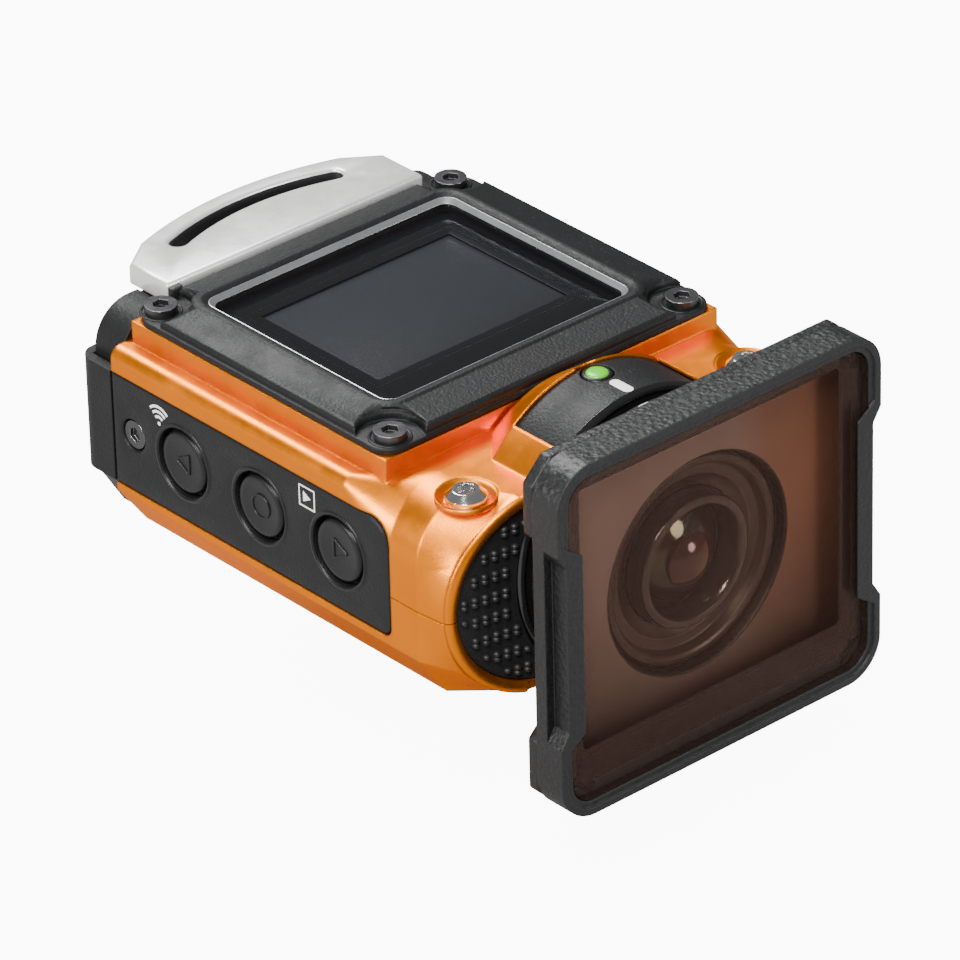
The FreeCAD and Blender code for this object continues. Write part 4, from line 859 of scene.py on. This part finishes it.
def build_collar_marks():
    """The green lock button on its dark cap, and the white alignment marks."""
    bm = bmesh.new()
    top = LENS_Z + 19.3
    lathe(bm, "z", 0, LOCK_Y, [(0.01, top + 0.3), (0.75, top + 0.3), (1.25, top + 0.22), (1.42, top + 0.06),
                              (1.42, top - 0.6), (0.01, top - 0.6)], 48)
    piece("lock_button_face", bm, "lock_part", "green", "green_gloss", sharp=50.0)
    bm = bmesh.new()
    lathe(bm, "z", 0, LOCK_Y, [(0.01, top - 0.62), (1.44, top - 0.62), (1.44, top + 0.02), (1.8, top),
                               (2.0, top - 0.25),
                              (2.0, top - 2.8), (0.01, top - 2.8)], 48)
    stood_in("lock_button_cap", "lock_button", bm, "green", "charcoal_smooth", sharp=50.0)
    curved_mark("collar_mark", "casing", "silver", "white_print", 19.3, 0.72, -38.6, -35.0, 0.7)
    bm = bmesh.new()
    lathe(bm, "z", 0, LOCK_Y, [(0.9, 29.76), (1.65, 29.76), (1.55, 30.1), (1.65, 30.45), (1.55, 30.8),
                               (1.65, 31.14),
                              (0.9, 31.14)], 40)
    sleeve = stood_in("return_sleeve", "lock_return_sleeve", bm, "black_rubber", "rubber")
    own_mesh(sleeve)
    low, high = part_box("protector_ring")
    ring_radius = (high.x - low.x) / 2 / MM
    curved_mark("ring_mark", "protector_part", "silver", "white_print", ring_radius, 0.8, -43.2,
                high.y / MM - 0.7, 0.15)
    # The collar's rounded front lip in black gloss, also painted shade: it darkens the gap between the collar
    # and the protector ring.
    bm = bmesh.new()
    lathe(bm, "y", 0, LENS_Z, [(19.3, -38.55), (19.36, -38.7), (19.1, -39.1), (18.6, -39.35), (18.3, -39.3),
                               (18.3, -38.5)], 128)
    piece("collar_lip", bm, "casing", "black_gloss", "black_gloss")


# ---------------------------------------------------------------- protector

def build_protector():
    """The rear plate, the dark print round the glass and the backing behind it."""
    x, z0, z1 = 26.3, LENS_Z - 24.2, LENS_Z + 24.2
    grip, step, cut = 14.3, 1.8, 3.0
    corners = [(x - cut, z0), (x, z0 + cut), (x, LENS_Z - grip), (x - step, LENS_Z - grip + step),
               (x - step, LENS_Z + grip - step), (x, LENS_Z + grip), (x, z1 - cut), (x - cut, z1)]
    corners += [(-u, v) for u, v in reversed(corners)]
    bm = bmesh.new()
    slab(bm, "y", softened(corners, 0.8), -50.0, -48.1, 0.3, [circle(0, LENS_Z, 14.6, 96)], 0.25)
    stood_in("protector_plate_body", "protector_plate", bm, "charcoal", "charcoal_coarse", sharp=40.0)
    bm = bmesh.new()
    slab(bm, "y", rounded(-24.3, 24.3, LENS_Z - 22.2, LENS_Z + 22.2, 3.1), -52.97, -52.93, 0.004,
         [rounded(-21.7, 20.8, LENS_Z - 16.0, LENS_Z + 20.2, 0.6)])
    piece("protector_print", bm, "protector_part", "black_gloss", "print_brown")
    bm = bmesh.new()
    slab(bm, "y", rounded(-24.55, 24.55, LENS_Z - 22.45, LENS_Z + 22.45, 3.2), -50.12, -50.02, 0.02,
         [circle(0, LENS_Z, 14.9, 96)])
    piece("protector_backing", bm, "protector_part", "charcoal", "backing_grey")


# ---------------------------------------------------------------- grips

def stud_tree(look):
    """Geometry nodes that raise a staggered field of studs on the bowed front face, inside a round pad."""
    tree = bpy.data.node_groups.new("Grip studs", "GeometryNodeTree")
    inputs = [("Centre X", 0.0), ("Centre Z", 0.0), ("Pad radius", 0.01), ("Pitch", 0.001),
              ("Stud radius", 0.0004),
              ("Keep clear", 0.02)]
    for label, default in inputs:
        socket = tree.interface.new_socket(label, in_out="INPUT", socket_type="NodeSocketFloat")
        socket.default_value = default
    tree.interface.new_socket("Material", in_out="INPUT", socket_type="NodeSocketMaterial")
    tree.interface.new_socket("Geometry", in_out="OUTPUT", socket_type="NodeSocketGeometry")
    inside, out = tree.nodes.new("NodeGroupInput"), tree.nodes.new("NodeGroupOutput")
    links = tree.links

    def calc(operation, a, b=None):
        return math_node(tree, operation, a, b)

    rows = look.stud_rows
    grid = tree.nodes.new("GeometryNodeMeshGrid")
    grid.inputs["Vertices X"].default_value = rows
    grid.inputs["Vertices Y"].default_value = rows
    size = calc("MULTIPLY", inside.outputs["Pitch"], rows - 1.0)
    links.new(size, grid.inputs["Size X"])
    links.new(size, grid.inputs["Size Y"])
    place = tree.nodes.new("GeometryNodeInputPosition")
    split = tree.nodes.new("ShaderNodeSeparateXYZ")
    links.new(place.outputs[0], split.inputs[0])
    index = tree.nodes.new("GeometryNodeInputIndex")
    row = calc("MODULO", index.outputs[0], float(rows))
    odd = calc("MODULO", row, 2.0)
    stagger = calc("MULTIPLY", calc("MULTIPLY", odd, 0.5), inside.outputs["Pitch"])
    x = calc("ADD", split.outputs["X"], inside.outputs["Centre X"])
    z = calc("ADD", calc("ADD", split.outputs["Y"], inside.outputs["Centre Z"]), stagger)
    bow = calc("DIVIDE", calc("MULTIPLY", x, x), 2 * SWEEP * MM)
    y = calc("ADD", bow, (FRONT + 0.27) * MM)
    spot = tree.nodes.new("ShaderNodeCombineXYZ")
    for socket, value in zip(spot.inputs, (x, y, z)):
        links.new(value, socket)
    move = tree.nodes.new("GeometryNodeSetPosition")
    links.new(grid.outputs["Mesh"], move.inputs["Geometry"])
    links.new(spot.outputs[0], move.inputs["Position"])

    after = tree.nodes.new("GeometryNodeInputPosition")
    parts = tree.nodes.new("ShaderNodeSeparateXYZ")
    links.new(after.outputs[0], parts.inputs[0])

    def away(centre_x, centre_z):
        dx = calc("SUBTRACT", parts.outputs["X"], centre_x)
        dz = calc("SUBTRACT", parts.outputs["Z"], centre_z)
        return calc("SQRT", calc("ADD", calc("MULTIPLY", dx, dx), calc("MULTIPLY", dz, dz)))

    outside = calc("GREATER_THAN", away(inside.outputs["Centre X"], inside.outputs["Centre Z"]),
                   calc("SUBTRACT", inside.outputs["Pad radius"], inside.outputs["Stud radius"]))
    covered = calc("LESS_THAN", away(0.0, LENS_Z * MM), inside.outputs["Keep clear"])
    band = calc("LESS_THAN", calc("ABSOLUTE", calc("SUBTRACT", parts.outputs["Z"],
                                                   inside.outputs["Centre Z"])), 0.0006)
    drop = tree.nodes.new("GeometryNodeDeleteGeometry")
    drop.domain = "POINT"
    links.new(move.outputs[0], drop.inputs["Geometry"])
    links.new(calc("MAXIMUM", calc("MAXIMUM", outside, covered), band), drop.inputs["Selection"])
    ball = tree.nodes.new("GeometryNodeMeshUVSphere")
    ball.inputs["Segments"].default_value = 14
    ball.inputs["Rings"].default_value = 8
    links.new(inside.outputs["Stud radius"], ball.inputs["Radius"])
    shape = tree.nodes.new("GeometryNodeTransform")
    shape.inputs["Scale"].default_value = (0.95, 0.95, 0.7)
    links.new(ball.outputs["Mesh"], shape.inputs["Geometry"])
    spread = tree.nodes.new("GeometryNodeInstanceOnPoints")
    links.new(drop.outputs[0], spread.inputs["Points"])
    links.new(shape.outputs[0], spread.inputs["Instance"])
    real = tree.nodes.new("GeometryNodeRealizeInstances")
    links.new(spread.outputs[0], real.inputs[0])
    smooth = tree.nodes.new("GeometryNodeSetShadeSmooth")
    links.new(real.outputs[0], smooth.inputs["Geometry"])
    paint = tree.nodes.new("GeometryNodeSetMaterial")
    links.new(smooth.outputs[0], paint.inputs["Geometry"])
    links.new(inside.outputs["Material"], paint.inputs["Material"])
    links.new(paint.outputs[0], out.inputs["Geometry"])
    return tree


def grown(name, tree, values, body):
    """Runs a geometry tree once and keeps its result as a plain mesh."""
    seed = bpy.data.objects.new(name + "_seed", bpy.data.meshes.new(name + "_seed"))
    bpy.context.scene.collection.objects.link(seed)
    modifier = seed.modifiers.new("grow", "NODES")
    modifier.node_group = tree
    for item in tree.interface.items_tree:
        if item.in_out == "INPUT" and item.name in values:
            modifier[item.identifier] = values[item.name]
    graph = bpy.context.evaluated_depsgraph_get()
    mesh = bpy.data.meshes.new_from_object(seed.evaluated_get(graph))
    bpy.data.objects.remove(seed)
    if not mesh.vertices:
        raise RuntimeError(name + " came out empty")
    thing = bpy.data.objects.new(name, mesh)
    mesh.name = name
    bpy.context.scene.collection.objects.link(thing)
    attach(thing, body)
    return thing


def build_grips(look):
    """The studs on both rubber pads and the orange bead round each."""
    tree = stud_tree(look)
    for sign, word in ((-1, "left"), (1, "right")):
        grown(word + "_grip_studs", tree, {
            "Centre X": sign * PAD_X * MM, "Centre Z": PAD_Z * MM, "Pad radius": 12.1 * MM,
            "Pitch": look.stud_pitch * MM,
            "Stud radius": look.stud_radius * MM, "Keep clear": 20.2 * MM, "Material": MATERIALS["rubber"],
        }, "casing")
        spots = []
        for step in range(181):
            t = math.radians(180 if sign < 0 else 0) + math.radians(-180 + 2 * step)
            u, v = sign * PAD_X + BEAD_R * math.cos(t), PAD_Z + BEAD_R * math.sin(t)
            if math.hypot(u, v - LENS_Z) > 20.0 and v > 0.5:
                spots.append((t, u, v))
        bm = bmesh.new()
        rings = []
        for t, _, _ in spots:
            ring = []
            for k in range(9):
                turn = math.pi * k / 8
                reach = BEAD_R + 0.85 * math.cos(turn)
                u, v = sign * PAD_X + reach * math.cos(t), PAD_Z + reach * math.sin(t)
                ring.append(bm.verts.new((u, front_y(u) + 0.15 - 0.62 * math.sin(turn), v)))
            rings.append(ring)
        for a, b in zip(rings, rings[1:]):
            for k in range(8):
                bm.faces.new((a[k], a[k + 1], b[k + 1], b[k]))
            bm.faces.new((a[8], a[0], b[0], b[8]))
        bm.faces.new(rings[0])
        bm.faces.new(rings[-1][::-1])
        piece(word + "_grip_bead", bm, "casing", "orange", "orange_lacquer", sharp=60.0)


def build_dishes():
    """The bright rims of the two shoulder screws' dishes."""
    for sign, word in ((-1, "left"), (1, "right")):
        bm = bmesh.new()
        lathe(bm, "z", sign * SHOULDER_X, SHOULDER_Y, [(2.75, 26.45), (3.3, 26.5), (3.6, 26.7), (3.85, 27.15),
                                              (3.85, 26.4), (2.75, 26.4)], 64)
        piece(word + "_dish", bm, "casing", "orange", "orange_lacquer", sharp=50.0)


def build_base():
    """Black discs painted as shade for the speaker grille holes, and thread rings on the underside."""
    bm = bmesh.new()
    # painted shade: flat black discs stand for the dark insides of the holes
    for step in range(5):
        slab(bm, "z", circle(-18.0 + 2.0 * step, -12.0, 0.5, 16), -0.02, 0.05, 0.005)
    piece("speaker_hole_shade", bm, "casing", "black_rubber", "print_black")
    bm = bmesh.new()
    for step in range(4):
        z = 0.5 + 1.27 * step
        lathe(bm, "z", 0, 0, [(2.56, z), (2.56, z + 0.9), (2.3, z + 0.55), (2.3, z + 0.35)], 48)
    piece("socket_thread", bm, "casing", "brass", "brass")


# ---------------------------------------------------------------- stage

def build_stage(look):
    """A pale floor below the protector's widest turn, soft lights and the camera."""
    mesh = bpy.data.meshes.new("floor")
    reach = 6.0
    ground = (LENS_Z - math.hypot(GUARD_X, GUARD_Z) - 0.3) * MM
    corners = [(u * reach, v * reach, ground) for u, v in ((-1, -1), (1, -1), (1, 1), (-1, 1))]
    mesh.from_pydata(corners, [], [(0, 1, 2, 3)])
    floor = bpy.data.objects.new("floor", mesh)
    bpy.context.scene.collection.objects.link(floor)
    paint = bpy.data.materials.new("floor_paint")
    paint.use_nodes = True
    shader = paint.node_tree.nodes["Principled BSDF"]
    shader.inputs["Base Color"].default_value = (0.36, 0.36, 0.36, 1.0)
    shader.inputs["Roughness"].default_value = 0.9
    shader.inputs["Specular IOR Level"].default_value = 0.1
    path = paint.node_tree.nodes.new("ShaderNodeLightPath")
    glow = math_node(paint.node_tree, "MULTIPLY", path.outputs["Is Camera Ray"], look.floor_glow)
    paint.node_tree.links.new(glow, shader.inputs["Emission Strength"])
    shader.inputs["Emission Color"].default_value = (1.0, 1.0, 1.0, 1.0)
    mesh.materials.append(paint)

    world = bpy.data.worlds.new("studio")
    bpy.context.scene.world = world
    world.use_nodes = True
    world.node_tree.nodes["Background"].inputs["Color"].default_value = (1.0, 1.0, 1.0, 1.0)
    world.node_tree.nodes["Background"].inputs["Strength"].default_value = look.sky
    target = Vector((0.0, -0.008, 0.015))
    lamps = (
        ("key", (-0.42, -0.30, 0.62), 0.34, 9.0, (1.0, 0.985, 0.96)),
        ("top", (0.10, 0.42, 0.62), 0.42, 8.0, (1.0, 1.0, 1.0)),
        ("front", (0.30, -0.75, 0.22), 0.30, 3.5, (0.97, 0.98, 1.0)),
        ("left_strip", (-0.62, 0.10, 0.20), 0.16, 3.0, (1.0, 0.99, 0.97)),
    )
    for name, place, size, power, colour in lamps:
        light = bpy.data.lights.new(name, "AREA")
        light.shape = "DISK"
        light.size = size
        light.energy = power * look.lamp_gain
        light.color = colour
        lamp = bpy.data.objects.new(name, light)
        lamp.location = place
        lamp.rotation_mode = "QUATERNION"
        lamp.rotation_quaternion = (Vector(place) - target).to_track_quat("Z", "Y")
        bpy.context.scene.collection.objects.link(lamp)

    azimuth, elevation, roll = (math.radians(angle) for angle in (-40.91, 30.29, -1.48))
    aim_across, aim_down, distance, aim_height = -7.29, -21.77, 965.0, 30.5
    back = Vector((math.sin(azimuth) * math.cos(elevation), -math.cos(azimuth) * math.cos(elevation),
                   math.sin(elevation)))
    ahead = -back
    right = ahead.cross(Vector((0, 0, 1))).normalized()
    up = right.cross(ahead)
    across = right * math.cos(roll) + up * math.sin(roll)
    down = right * math.sin(roll) - up * math.cos(roll)
    offset = across * aim_across + down * aim_down + ahead * distance
    eye = Vector((0, 0, aim_height * MM)) - offset * MM
    data = bpy.data.cameras.new("camera")
    data.sensor_width = 36.0
    data.lens = 291.7
    data.clip_start, data.clip_end = 0.05, 50.0
    camera = bpy.data.objects.new("camera", data)
    camera.matrix_world = Matrix((
        (across.x, -down.x, back.x, eye.x), (across.y, -down.y, back.y, eye.y),
        (across.z, -down.z, back.z, eye.z),
        (0, 0, 0, 1)))
    bpy.context.scene.collection.objects.link(camera)
    bpy.context.scene.camera = camera


# ---------------------------------------------------------------- add-on

class ActionCameraLook(bpy.types.PropertyGroup):
    """The sizes and colours that a user may change."""
    body_colour: bpy.props.FloatVectorProperty(name="Body colour", description="Orange of the shells",
                                               size=3,
                                               subtype="COLOR", default=(0.97, 0.262, 0.0), min=0, max=1)
    trim_colour: bpy.props.FloatVectorProperty(name="Trim colour",
                                               description="Charcoal of plates, bezel and protector",
                                               size=3, subtype="COLOR", default=(0.0090, 0.0094, 0.0102),
                                               min=0, max=1)
    grain_scale: bpy.props.FloatProperty(name="Grain scale", description="Fineness of the moulded grain",
                                         default=2600.0)
    stud_rows: bpy.props.IntProperty(name="Stud rows", description="Rows of studs across a pad", default=23,
                                     min=3, max=60)
    stud_pitch: bpy.props.FloatProperty(name="Stud pitch", description="Distance between studs, mm",
                                        default=1.42)
    stud_radius: bpy.props.FloatProperty(name="Stud radius", description="Radius of one stud, mm",
                                         default=0.6)
    sky: bpy.props.FloatProperty(name="Sky", description="Strength of the white surround", default=0.20)
    floor_glow: bpy.props.FloatProperty(
        name="Floor glow", description="Extra brightness of the floor as the camera sees it", default=10.0)
    lamp_gain: bpy.props.FloatProperty(name="Lamp gain", description="Multiplies every lamp", default=1.0)


class Piece:
    """Shared running of the piece operators."""
    bl_options = {"REGISTER", "UNDO"}

    def execute(self, context):
        self.build(context.scene.action_camera_look)
        return {"FINISHED"}


class ACTIONCAM_OT_frame(Piece, bpy.types.Operator):
    """Make the materials and dress the CAD nodes that stay visible"""
    bl_idname = "actioncam.frame"
    bl_label = "Materials and casing"

    def build(self, look):
        make_materials(look)
        dress_frame()


class ACTIONCAM_OT_bezel(Piece, bpy.types.Operator):
    """Build the bezel, its bright lip and the window's black print"""
    bl_idname = "actioncam.bezel"
    bl_label = "Bezel and display"

    def build(self, look):
        build_bezel()
        build_display()


class ACTIONCAM_OT_bracket(Piece, bpy.types.Operator):
    """Build the strap bracket"""
    bl_idname = "actioncam.bracket"
    bl_label = "Strap bracket"

    def build(self, look):
        build_bracket()


class ACTIONCAM_OT_sides(Piece, bpy.types.Operator):
    """Build both side plates with their keys and symbols"""
    bl_idname = "actioncam.sides"
    bl_label = "Side plates and keys"

    def build(self, look):
        build_side(-1)
        build_side(1)


class ACTIONCAM_OT_rear(Piece, bpy.types.Operator):
    """Build the rear door's ribs and symbols"""
    bl_idname = "actioncam.rear"
    bl_label = "Rear door"

    def build(self, look):
        build_rear()


class ACTIONCAM_OT_lens(Piece, bpy.types.Operator):
    """Build the lens, its glass and the collar's marks"""
    bl_idname = "actioncam.lens"
    bl_label = "Lens and collar"

    def build(self, look):
        build_lens()
        build_collar_marks()


class ACTIONCAM_OT_protector(Piece, bpy.types.Operator):
    """Build the protector's plate, backing and print"""
    bl_idname = "actioncam.protector"
    bl_label = "Protector"

    def build(self, look):
        build_protector()


class ACTIONCAM_OT_grips(Piece, bpy.types.Operator):
    """Build the studs and beads of the grips, the screw dishes and the base details"""
    bl_idname = "actioncam.grips"
    bl_label = "Grips, dishes and base"

    def build(self, look):
        build_grips(look)
        build_dishes()
        build_base()


class ACTIONCAM_OT_stage(Piece, bpy.types.Operator):
    """Set the floor, the lights and the camera"""
    bl_idname = "actioncam.stage"
    bl_label = "Stage"

    def build(self, look):
        build_stage(look)


OPERATORS = (ACTIONCAM_OT_frame, ACTIONCAM_OT_bezel, ACTIONCAM_OT_bracket, ACTIONCAM_OT_sides,
             ACTIONCAM_OT_rear,
             ACTIONCAM_OT_lens, ACTIONCAM_OT_protector, ACTIONCAM_OT_grips, ACTIONCAM_OT_stage)


class ACTIONCAM_PT_panel(bpy.types.Panel):
    """Lists the settings and the pieces in building order"""
    bl_idname = "ACTIONCAM_PT_panel"
    bl_label = "Action camera"
    bl_space_type = "VIEW_3D"
    bl_region_type = "UI"
    bl_category = "Action camera"

    def draw(self, context):
        look = context.scene.action_camera_look
        for name in look.__annotations__:
            self.layout.prop(look, name)
        for operator in OPERATORS:
            self.layout.operator(operator.bl_idname)


CLASSES = (ActionCameraLook,) + OPERATORS + (ACTIONCAM_PT_panel,)


def register():
    for item in CLASSES:
        bpy.utils.register_class(item)
    bpy.types.Scene.action_camera_look = bpy.props.PointerProperty(type=ActionCameraLook)


def unregister():
    del bpy.types.Scene.action_camera_look
    for item in reversed(CLASSES):
        bpy.utils.unregister_class(item)


def main():
    """Builds everything in order."""
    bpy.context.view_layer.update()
    register()
    for operator in OPERATORS:
        module, name = operator.bl_idname.split(".")
        getattr(getattr(bpy.ops, module), name)()


if __name__ == "__main__":
    main()
